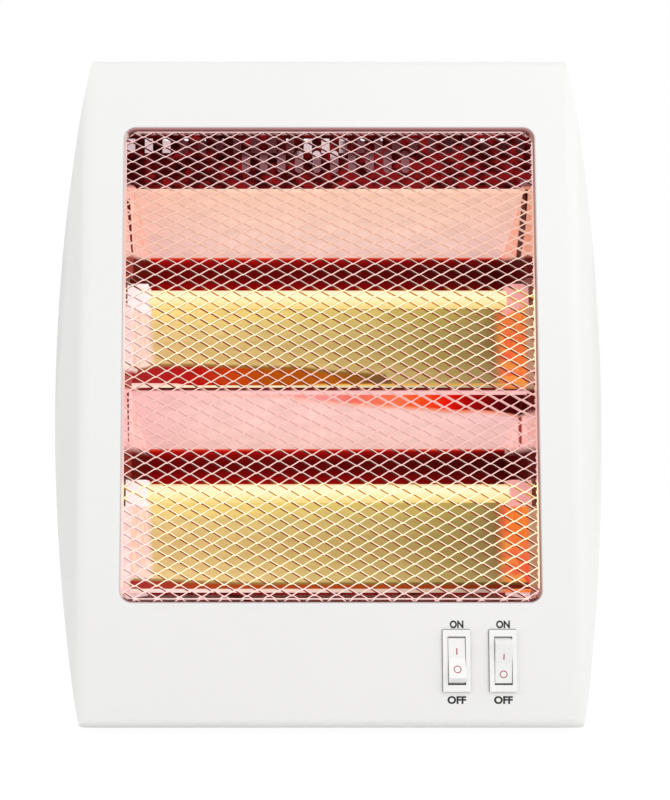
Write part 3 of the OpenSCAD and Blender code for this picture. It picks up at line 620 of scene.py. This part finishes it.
leftWall = wallSheet("brightRolledWallLeft", [
    (68, "#ffe1e1"), (70.3, "#ffe1e1"), (70.7, "#a52d2d"), (74.3, "#a52d2d"), (75, "#f4d6c6"),
    (117, "#f6ded2"), (119, "#5a1008"), (141, "#5a1008"), (145, "#fdcfc8"), (173.2, "#fdcac4"),
    (174.6, "#fff0d8"), (176.0, "#ffd2cc"), (176.3, "#a51e23"), (184, "#a51e23"),
    (185.5, "#f2d8cc"), (222, "#f6e0d6"), (224.5, "#5a1008"), (248.5, "#5a1008"),
    (251, "#fac4b8"), (270, "#fbc0a8"), (289, "#fbbca4")], [
    (62, "#e8c0bc"), (74, "#f8dcd8"), (117, "#fce8e4"), (120, "#8a342c"), (141, "#8a342c"),
    (145, "#fcd4d0"), (174, "#fcd4d0"), (176, "#b05a58"), (184, "#b05a58"), (186, "#fce4e0"),
    (224, "#fce8e4"), (226, "#9a4a40"), (249, "#9a4a40"), (252, "#fcccc0"), (289, "#fcccc0"),
    (291, "#7a4a4c"), (322, "#8a6264")], [
    {"ends": ((246, 104.0), (276, 106.4)), "wide": (0.8, 2.0), "tone": "#64160c"},
    {"ends": ((146, 105.0), (173, 105.6)), "wide": (0.5, 1.2), "tone": "#7a2420"}])
rightWall = wallSheet("brightRolledWallRight", [
    (68, "#ffe1e1"), (70.3, "#ffe1e1"), (70.7, "#8a1e14"), (72.6, "#8a1e14"), (73.6, "#ec5a48"),
    (88, "#f0784a"), (100, "#fa8438"), (116, "#f58a3c"), (119, "#460404"), (141, "#460404"),
    (145, "#fdcfc8"), (160, "#fdcfc8"), (162, "#3c0505"), (171, "#3c0505"), (172, "#fac2ba"),
    (174.2, "#fac2ba"), (175.2, "#e8a860"), (178, "#f28c42"), (205, "#f07444"),
    (222, "#f29648"), (224.5, "#460404"), (248.5, "#460404"), (251, "#f2b4a0"),
    (289, "#f0b098")], [
    (62, "#8a4a40"), (74, "#b48a70"), (117, "#be9a7c"), (120, "#5a1a14"), (141, "#5a1a14"),
    (145, "#eeb8b0"), (160, "#eeb8b0"), (163, "#5a1a14"), (174, "#5a1a14"), (176, "#bb9277"),
    (224, "#bb9277"), (226, "#5a1a14"), (249, "#5a1a14"), (252, "#e4a68c"), (289, "#e4a68c"),
    (291, "#4a2426"), (322, "#5a3436")], [
    {"ends": ((243, 101.9), (281, 104.7)), "wide": (1.2, 2.4), "tone": "#420c08"},
    {"ends": ((144, 101.9), (161, 101.9)), "wide": (0.7, 0.9), "tone": "#8a2420"}])

# Quartz drawn into tube and frosted inside: the glow fills the whole bore, brightest at its
# middle. Both tubes take their tones by height, counted from the same place in each trough.
tubeLook = {
    "base": 70, "pitch": 105.6, "share": 0.25, "strength": 0.85, "haze": 16.667,
    "tones": [(45.2, "#f4d888"), (48, "#fae8a8"), (51, "#fdf2c4"), (54, "#fdf0c8"),
              (55.2, "#f0c090")],
}
quartzTube, tree, shader = startMaterial("drawnFrostedQuartz", {"IOR": 1.46})
rise = calc(tree, "SUBTRACT", facePoint(tree).outputs["Z"], tubeLook["base"] * mm)
rise = calc(tree, "MODULO", rise, tubeLook["pitch"] * mm)
tone = ramp(tree, rise, tubeLook["tones"])
giveGlow(tree, shader, tone, tubeLook["share"], tubeLook["strength"])
haze = noiseAt(tree, objectPoint(tree), tubeLook["haze"] * mm)
tree.links.new(between(tree, haze, 0.0, 1.0, 0.25, 0.4), shader.inputs["Roughness"])

# Resistance wire wound on a mandrel, glowing orange and a little unevenly from turn to turn
heatingWire, tree, shader = startMaterial("woundGlowingWire", {
    "Metallic": 1.0, "Roughness": 0.4, "Emission Strength": 1.5})
hot = blend(tree, noiseAt(tree, objectPoint(tree), 3.333 * mm), "#ff7a24", "#ffb04e")
tree.links.new(hot, shader.inputs["Emission Color"])
tree.links.new(hot, shader.inputs["Base Color"])


def glowingCap(name, low, high):
    # pressed steatite with the tube's light painted on as glow
    material, tree, shader = startMaterial(name, {"IOR": 1.5})
    fine = addGrain(tree, shader, 1.111 * mm, 0.25, 0.3 * mm, (0.5, 0.65), 3.0)
    giveGlow(tree, shader, blend(tree, fine, low, high), strength=0.7)
    return material


# the right caps take a pinker painted glow than the left
leftCap = glowingCap("pressedSteatiteLeft", "#f4e6e6", "#fffafa")
rightCap = glowingCap("pressedSteatiteRight", "#e89c98", "#f6b4ae")


# Mill-finish steel with dull red blots of reflected light, denser towards the tubes
shieldLook = {
    "blot": 5.882, "stretch": (0.7, 1, 1), "roughness": (0.4, 0.6),
    "heights": (281, 315), "upShift": (0.10, -0.06),
    "across": (-60, 30), "sideShift": (-0.04, 0.04),
    "tones": [(0.3, "#240202"), (0.48, "#4c0a0a"), (0.6, "#861618"), (0.75, "#861618")],
}
shieldSheet, tree, shader = startMaterial("millFinishShield", sheetLook["shader"])
point = facePoint(tree)
blots = noiseAt(tree, stretched(tree, objectPoint(tree), shieldLook["stretch"]),
                shieldLook["blot"] * mm, 3.0)
reach = blots
for axis, places, shifts in (("Z", "heights", "upShift"), ("X", "across", "sideShift")):
    start, end = shieldLook[places]
    shift = between(tree, point.outputs[axis], start * mm, end * mm, *shieldLook[shifts])
    reach = calc(tree, "ADD", reach, shift)
tone = addNode(tree, "ShaderNodeValToRGB", {"Fac": reach}, shieldLook["tones"]).outputs["Color"]
giveGlow(tree, shader, tone)
tree.links.new(between(tree, blots, 0.0, 1.0, *shieldLook["roughness"]),
               shader.inputs["Roughness"])
addRelief(tree, shader, blots, 0.1, 0.2 * mm)

# The casing's ABS where the glow reaches it, with that light and shade painted on: the rear
# shell's inner face, seen in pale patches through the shield's vents, and the window's lip, bright
# at its edge and dim further in
litCasing = {
    "grain": 0.5263, "back": (315, 318), "backLow": "#94646a", "sides": (105.8, 106.6),
    "backTones": [
        (-130, "#a07074"), (-114, "#f0d8dc"), (-88, "#f4dce0"), (-84, "#5c2a30"),
        (-60, "#4a1a20"), (-50, "#54242a"), (-16, "#64343a"), (-12, "#f4e0e2"), (8, "#f4e0e2"),
        (12, "#6e4046"), (60, "#582a30"), (68, "#44181c"), (130, "#3c1418")],
    "lipTones": [(62, "#8a3034"), (70, "#7a2024"), (120, "#c8a49e"), (300, "#b89090"),
                 (313, "#c09696")],
    "lipDepths": [(0.4, "#ffffff"), (2.2, "#f0e0e0"), (6, "#6e4448")],
    "sideTones": [(-110, "#f0dcda"), (-100, "#f0dcda"), (100, "#b08478"), (110, "#b08478")],
}
backGlow, tree, shader = startMaterial("mouldedCasingAbsLit", {"IOR": 1.54, "Roughness": 0.5})
point = facePoint(tree)
start, end = litCasing["back"]
lit = between(tree, point.outputs["Z"], start * mm, end * mm)
tone = ramp(tree, point.outputs["X"], litCasing["backTones"])
giveGlow(tree, shader, blend(tree, lit, litCasing["backLow"], tone))
addRelief(tree, shader, noiseAt(tree, objectPoint(tree), litCasing["grain"] * mm), 0.08, 0.2 * mm)

lipGlow, tree, shader = startMaterial("mouldedLipAbsLit", {"IOR": 1.54, "Roughness": 0.45})
point = facePoint(tree)
tone = tint(tree, ramp(tree, point.outputs["Z"], litCasing["lipTones"]),
            ramp(tree, point.outputs["Y"], litCasing["lipDepths"]))
start, end = litCasing["sides"]
aside = between(tree, calc(tree, "ABSOLUTE", point.outputs["X"]), start * mm, end * mm)
tone = blend(tree, aside, tone, ramp(tree, point.outputs["X"], litCasing["sideTones"]))
giveGlow(tree, shader, tone, 0.5, 0.5)
addRelief(tree, shader, noiseAt(tree, objectPoint(tree), litCasing["grain"] * mm), 0.08, 0.2 * mm)

print("materials ready")


# Guard of expanded metal

# The slit sheet opens into diamonds: short level bonds, and strands that rise and fall between
# them, each rolled over by the stretching. Its border is folded back into a slope and a flange.
guard = {
    "pitch": 11.5 * mm, "half": 2.85 * mm,      # from bond to bond across, and half a row
    "bondW": 1.3 * mm, "bondH": 0.72 * mm, "straight": 0.85 * mm,
    "strandW": 0.52 * mm, "strandT": 1.1 * mm, "foldW": 0.55 * mm,
    "rollFalling": math.radians(-38), "rollRising": math.radians(-4),
    "halfW": 106.8 * mm, "halfH": 122 * mm, "depth": 3.4 * mm, "corner": 5.3 * mm,
    "slope": math.radians(87), "slopeLength": 5.1 * mm, "flange": 4.2 * mm,
    "midZ": 187.5 * mm, "columns": 24, "rows": 49, "lowest": 64, "overlap": 1.04,
}
# The sheet wasn't stretched evenly: rows close up towards its head, and its columns lean. These
# are half rows counted down from the upper trough's middle, and their heights along the face.
rowCounts = [-32, -24, -16, 0, 14, 20, 36, 44, 56, 62]
rowHeights = [325.2, 304.2, 283.0, 239.2, 199.2, 181.1, 133.4, 109.5, 73.5, 55.5]
skew = {"shift": 0.5, "leanFrom": 244, "lean": 0.013, "tiltFrom": 225, "tiltOver": 40,
        "tilt": 0.0155}

# the plated strands are painted with the light of what glows behind them: front and shaded
# underside by height
netZones = [
    (60, 71, "#ffdcd6", "#7c1c18"), (73, 115, "#fff6d2", "#8a3010"),
    (116, 124, "#fffbd2", "#c8862c"), (125.5, 141.5, "#f8cec6", "#3c0505"),
    (143, 172.5, "#e8b8b2", "#deb0aa"), (174, 184, "#f6d2c2", "#7a2008"),
    (187, 215, "#fff6d2", "#8a3410"),
    (217, 225, "#fffbd2", "#c8862c"), (226.5, 241.5, "#f8cec4", "#3c0505"),
    (243, 278.5, "#e8bcaa", "#deb4a2"), (280.5, 316, "#f0cac8", "#4a1010"),
]
# beside the white caps, at these places across and up, the strands turn pink with painted light
pinkLightZone = {
    "across": (-95, -91), "front": "#fae0da", "underside": "#c4a4a4",
    "heights": [(72, 0.0), (74, 1.0), (114, 1.0), (116, 0.0), (186, 0.0), (188, 1.0), (223, 1.0),
                (226, 0.0)],
}


def plateMetal(name, side, emission):
    # steel slit and stretched, then zinc plated: satin, with a fine unevenness and the glow behind
    # it painted on
    material, tree, shader = startMaterial(name, {"Metallic": 0.3})
    point = facePoint(tree)
    stops = []
    for low, high, front, underside in netZones:
        color = front if side == "front" else underside
        stops += [(low, color), (high, color)]
    tone = ramp(tree, point.outputs["Z"], stops)
    start, end = pinkLightZone["across"]
    beside = between(tree, point.outputs["X"], start * mm, end * mm, 1.0, 0.0)
    lit = ramp(tree, point.outputs["Z"], pinkLightZone["heights"])
    tone = blend(tree, calc(tree, "MULTIPLY", beside, lit), tone, pinkLightZone[side])
    uneven = noiseAt(tree, objectPoint(tree), 1.429 * mm)
    tree.links.new(between(tree, uneven, 0.0, 1.0, 0.3, 0.5), shader.inputs["Roughness"])
    giveGlow(tree, shader, tone, 0.5, emission)
    return material


netFront = plateMetal("platedExpandedSteel", "front", 0.7)
netShadedSide = plateMetal("platedStrandShadedSide", "underside", 0.65)


def makeBar(length, depth, width, roll, slant, place):
    # one straight bar of the mesh, with the second material, of painted shade, on the face that
    # looks down
    bpy.ops.object.select_all(action="DESELECT")
    bpy.ops.mesh.primitive_cube_add(size=1)
    bar = bpy.context.active_object
    bar.scale = (length, depth, width)
    bpy.ops.object.transform_apply(location=False, rotation=False, scale=True)
    bar.data.materials.append(netFront)
    bar.data.materials.append(netShadedSide)
    for polygon in bar.data.polygons:
        polygon.material_index = 1 if polygon.normal.z < -0.5 else 0
    bar.data.transform(Matrix.Rotation(roll, 4, "X"))
    bar.data.transform(Matrix.Rotation(-slant, 4, "Y"))
    bar.data.transform(Matrix.Translation(place))
    return bar


def joinInto(piece, others):
    onlyThis(piece)
    for other in others:
        other.select_set(True)
    bpy.ops.object.join()


def makeNet():
    # one diamond's bars, set out in columns and rows
    g = guard
    run = Vector((g["pitch"] / 2 - g["straight"], 0, g["half"]))
    slant = math.atan2(run.z, run.x)
    net = makeBar(g["bondW"], g["strandT"], g["bondH"], 0, 0, (0, 0, 0))
    strands = [makeBar(run.length * g["overlap"], g["strandT"], g["strandW"], roll, sign * slant,
                       (g["pitch"] / 4, 0, sign * g["half"] / 2))
               for sign, roll in ((1, g["rollRising"]), (-1, g["rollFalling"]))]
    joinInto(net, strands)
    for count, offset in ((2, (g["pitch"] / 2, 0, g["half"])),
                          (g["columns"], (g["pitch"], 0, 0)),
                          (g["rows"], (0, 0, 2 * g["half"]))):
        applyModifier(net, "ARRAY", count=count, use_relative_offset=False,
                      use_constant_offset=True, constant_offset_displace=offset)
    start = (-g["columns"] / 2 * g["pitch"], 0, -g["lowest"] * g["half"])
    net.data.transform(Matrix.Translation(start))
    return net


def stretchNet(net):
    co = pointArray(net) / mm
    count = -co[:, 2] / (guard["half"] / mm)
    x = co[:, 0] + skew["shift"]
    z = np.interp(count, rowCounts, rowHeights)
    x = x + skew["lean"] * (skew["leanFrom"] - z)
    z = z + skew["tilt"] * x * np.clip((skew["tiltFrom"] - z) / skew["tiltOver"], 0, 1)
    co[:, 0] = x
    co[:, 2] = z - guard["midZ"] / mm
    putPoints(net, co * mm)


def cutNet(net):
    # trimmed to size, and cut along the folds so that they come out straight
    g = guard
    cuts = [(axis, half + past, trim)
            for past, trim in ((g["slopeLength"] + g["flange"], True), (0, False),
                               (g["slopeLength"], False))
            for axis, half in ((0, g["halfW"]), (2, g["halfH"]))]
    onlyThis(net)
    bpy.ops.object.mode_set(mode="EDIT")
    for axis, limit, trim in cuts:
        for side in (-1, 1):
            normal = [0, 0, 0]
            normal[axis] = side
            place = [0, 0, 0]
            place[axis] = side * limit
            bpy.ops.mesh.select_all(action="SELECT")
            bpy.ops.mesh.bisect(plane_co=place, plane_no=normal, use_fill=trim,
                                clear_outer=trim)
    bpy.ops.object.mode_set(mode="OBJECT")


def pressTray(net):
    # the border is pressed back round the window: first a slope, then a flat flange behind the lip
    g = guard
    co = pointArray(net)
    x, z = co[:, 0].copy(), co[:, 2].copy()
    inX, inZ = g["halfW"] - g["corner"], g["halfH"] - g["corner"]
    outX, outZ = np.maximum(np.abs(x) - inX, 0), np.maximum(np.abs(z) - inZ, 0)
    out = np.hypot(outX, outZ)
    past = np.maximum(out - g["corner"], 0)
    slope = np.minimum(past, g["slopeLength"])
    flat = np.maximum(past - g["slopeLength"], 0)
    across = g["corner"] + slope * math.cos(g["slope"]) + flat
    scale = np.where(past > 0, across / np.maximum(out, 1e-9), 1.0)
    co[:, 0] = np.where(past > 0, np.sign(x) * (np.minimum(np.abs(x), inX) + outX * scale), x)
    co[:, 2] = np.where(past > 0, np.sign(z) * (np.minimum(np.abs(z), inZ) + outZ * scale), z)
    co[:, 1] = co[:, 1] + slope * math.sin(g["slope"])
    putPoints(net, co)


def addFolds(net):
    # the fold round the flat net comes out as a straight bright line
    g = guard
    folds = []
    for axis, at, along in ((0, g["halfW"], g["halfH"]), (2, g["halfH"], g["halfW"])):
        for side in (-1, 1):
            place = [0, 0, 0]
            place[axis] = side * at
            folds.append(makeBar(2 * (along - g["corner"]), g["strandT"], g["foldW"], 0,
                                 math.pi / 2 if axis == 0 else 0, place))
    joinInto(net, folds)


net = makeNet()
stretchNet(net)
cutNet(net)
pressTray(net)
addFolds(net)
net.data.transform(Matrix.Translation((0, guard["depth"], guard["midZ"])))
faceToFrame(net)
settle(net, "guard_net", None, replaces=["guard_mesh"])
print("guard:", len(net.data.polygons), "faces")


# The two casing shells

shellLook = {"merge": 0.004 * mm, "smooth": math.radians(32), "weight": 80}
# where the glow takes over, in the face's own frame and in millimetres
lipZone = {"half": 109.5, "depths": (0.4, 12), "heights": (62, 313.5)}
backZone = {"behind": 55, "heights": (270, 345)}


def smoothShell(node, name, material, glow, zone):
    # the moulding's own form, its flats merged and shaded as one smooth skin
    onlyThis(frame["nodes"][node])
    bpy.ops.object.duplicate()
    shell = bpy.context.active_object
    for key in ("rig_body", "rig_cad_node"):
        if key in shell:
            del shell[key]
    shell.parent = None
    bpy.ops.object.mode_set(mode="EDIT")
    bpy.ops.mesh.select_all(action="SELECT")
    bpy.ops.mesh.remove_doubles(threshold=shellLook["merge"])
    bpy.ops.object.mode_set(mode="OBJECT")
    bpy.ops.mesh.customdata_custom_splitnormals_clear()
    bpy.ops.object.shade_smooth_by_angle(angle=shellLook["smooth"])
    applyModifier(shell, "WEIGHTED_NORMAL", mode="FACE_AREA", keep_sharp=True,
                  weight=shellLook["weight"])
    settle(shell, name, material, replaces=[node])
    # the faces that the glow reaches take a second material
    shell.data.materials.append(glow)
    back = faceToWorld.inverted()
    for polygon in shell.data.polygons:
        inFace = back @ polygon.center
        normal = back.to_3x3() @ polygon.normal
        polygon.material_index = 1 if zone(inFace / mm, normal) else 0
    return shell


def onLip(point, normal):
    (front, back), (low, high) = lipZone["depths"], lipZone["heights"]
    return front < point.y < back and abs(point.x) < lipZone["half"] and low < point.z < high


def onInnerBack(point, normal):
    low, high = backZone["heights"]
    return normal.y < -0.5 and point.y > backZone["behind"] and low < point.z < high


frontShell = smoothShell("front_panel", "front_shell", frontPlastic, lipGlow,
                         onLip)
rearShell = smoothShell("rear_cover", "rear_shell", casingPlastic, backGlow,
                        onInnerBack)
print("shells:", len(frontShell.data.polygons), len(rearShell.data.polygons), "faces")


# Heating wire, wound finer than the solid's

coil = {"radius": 3.0 * mm, "wire": 0.42 * mm, "length": 184 * mm, "turns": 62, "sides": 7,
        "steps": 14, "depth": 36 * mm, "heights": {"upper": 225.8 * mm, "lower": 120.2 * mm}}


def makeCoil(place):
    c = coil
    bpy.ops.object.select_all(action="DESELECT")
    bpy.ops.mesh.primitive_circle_add(vertices=c["sides"], radius=c["wire"],
                                      fill_type="NOTHING")
    wire = bpy.context.active_object
    wire.data.transform(Matrix.Rotation(math.radians(90), 4, "X"))
    wire.data.transform(Matrix.Translation((c["radius"], 0, 0)))
    applyModifier(wire, "SCREW", angle=2 * math.pi, screw_offset=c["length"] / c["turns"],
                  iterations=c["turns"], steps=c["steps"], render_steps=c["steps"], axis="Z",
                  use_smooth_shade=True)
    # the two open ends are closed
    onlyThis(wire)
    bpy.ops.object.mode_set(mode="EDIT")
    bpy.ops.mesh.select_all(action="DESELECT")
    bpy.ops.mesh.select_non_manifold()
    bpy.ops.mesh.edge_face_add()
    bpy.ops.mesh.select_all(action="SELECT")
    bpy.ops.mesh.normals_make_consistent(inside=False)
    bpy.ops.object.mode_set(mode="OBJECT")
    wire.data.transform(Matrix.Translation((0, 0, -c["length"] / 2)))
    wire.data.transform(Matrix.Rotation(math.radians(90), 4, "Y"))
    wire.data.transform(Matrix.Translation((0, c["depth"], c["heights"][place])))
    faceToFrame(wire)
    settle(wire, "wound_coil_" + place, heatingWire, replaces=["coil_" + place])


makeCoil("upper")
makeCoil("lower")
print("coils wound")


# Switch lettering and marks

# the rockers' places across, and their pivots' height and depth
switches = {"left": 63.5 * mm, "right": 87.1 * mm, "pivotZ": 34.7 * mm, "pivotD": 2.5 * mm,
            "tilt": math.radians(14)}
lettering = {
    "ON": {"z": 52.8 * mm, "shift": 0.3 * mm, "width": 7.0 * mm, "height": 3.95 * mm},
    "OFF": {"z": 14.9 * mm, "shift": 0.0 * mm, "width": 9.5 * mm, "height": 3.95 * mm},
}
ink = {"bold": 0.042, "extrude": 0.01, "flatten": 0.002, "proud": 0.015 * mm}


def printWord(word, side):
    w = lettering[word]
    bpy.ops.object.select_all(action="DESELECT")
    bpy.ops.object.text_add()
    text = bpy.context.active_object
    text.data.body = word
    text.data.align_x = "CENTER"
    text.data.align_y = "CENTER"
    text.data.offset = ink["bold"]
    text.data.extrude = ink["extrude"]
    bpy.ops.object.convert(target="MESH")
    text = bpy.context.active_object
    co = pointArray(text)
    low, high = co.min(0), co.max(0)
    text.data.transform(Matrix.Translation(-Vector((low + high) / 2)))
    text.data.transform(Matrix.Diagonal((w["width"] / (high[0] - low[0]),
                                         w["height"] / (high[1] - low[1]), ink["flatten"], 1)))
    text.data.transform(Matrix.Rotation(math.radians(90), 4, "X"))
    place = (switches[side] + w["shift"], -ink["proud"], w["z"])
    text.data.transform(Matrix.Translation(place))
    faceToFrame(text)
    settle(text, "print_" + word.lower() + "_" + side, padPrint)


for side in ("left", "right"):
    for word in ("ON", "OFF"):
        printWord(word, side)

# the rocker's face dips to its middle, and rises to its top at each end
marks = {"barZ": 3.5 * mm, "barH": 3.3 * mm, "barW": 0.6 * mm, "barT": 0.07 * mm,
         "barRound": 0.02 * mm, "ringZ": -5.6 * mm, "ringR": 1.72 * mm, "ringT": 0.25 * mm,
         "ringFlat": 0.12, "dip": 1.3 * mm, "top": 6.2 * mm, "end": 10.04 * mm}


def rockerPlace(side, z):
    # from flat (x right, y up) on the rocker's face at height z to the heater's frame
    m = marks
    slope = math.atan2(m["dip"], m["end"]) * (1 if z > 0 else -1)
    depth = -(m["top"] - m["dip"] * (1 - abs(z) / m["end"]))
    tilt = switches["tilt"] * (-1 if side == "left" else 1)
    return (faceToWorld
            @ Matrix.Translation((switches[side], switches["pivotD"], switches["pivotZ"]))
            @ Matrix.Rotation(tilt, 4, "X")
            @ Matrix.Translation((0, depth, z))
            @ Matrix.Rotation(math.radians(90) + slope, 4, "X"))


def makeMarks(side):
    body = "rocker_" + side + "_body"
    bpy.ops.object.select_all(action="DESELECT")
    bpy.ops.mesh.primitive_torus_add(major_radius=marks["ringR"], minor_radius=marks["ringT"],
                                     major_segments=40, minor_segments=8)
    ring = bpy.context.active_object
    ring.data.transform(Matrix.Diagonal((1, 1, marks["ringFlat"], 1)))
    ring.data.transform(rockerPlace(side, marks["ringZ"]))
    settle(ring, "mark_ring_" + side, switchMark, body)
    bpy.ops.object.select_all(action="DESELECT")
    bpy.ops.mesh.primitive_cube_add(size=1)
    bar = bpy.context.active_object
    bar.data.transform(Matrix.Diagonal((marks["barW"], marks["barH"], marks["barT"], 1)))
    applyModifier(bar, "BEVEL", width=marks["barRound"], segments=2)
    bar.data.transform(rockerPlace(side, marks["barZ"]))
    settle(bar, "mark_bar_" + side, switchMark, body)


makeMarks("left")
makeMarks("right")
print("lettering ready")


# CAD nodes that keep their shape get their finishes

finishes = {
    "base_plate": basePlastic, "feet": footRubber, "guard_clips": zincSteel,
    "reflector_upper": upperSheet, "reflector_lower": lowerSheet,
    "end_plate_left": leftWall, "end_plate_right": rightWall, "heat_shield": shieldSheet,
    "tube_upper": quartzTube, "tube_lower": quartzTube,
    "cap_upper_left": leftCap, "cap_upper_right": rightCap,
    "cap_lower_left": leftCap, "cap_lower_right": rightCap,
    "switch_frame_left": switchPlastic, "switch_frame_right": switchPlastic,
    "rocker_left": rockerPlastic, "rocker_right": rockerPlastic, "switch_tabs": tabBrass,
    "tilt_plunger": innerPlastic, "plunger_spring": springSteel, "plunger_guide": innerPlastic,
    "tilt_switch": innerPlastic, "terminal_block": blockCeramic, "thermal_cutout": cutoutCeramic,
    "cord_gland": innerPlastic, "lead_feed": leadSleeve, "lead_common": leadSleeve,
    "lead_link": leadSleeve, "lead_lower": leadSleeve, "lead_upper": leadSleeve,
    "casing_screws": zincSteel, "plate_screws": zincSteel, "shield_screws": zincSteel,
    "base_screws": zincSteel,
}
for nodeName, finish in finishes.items():
    node = frame["nodes"][nodeName]
    if not node.material_slots:
        node.data.materials.append(finish)
    for materialSlot in node.material_slots:
        materialSlot.material = finish
print("finishes given")
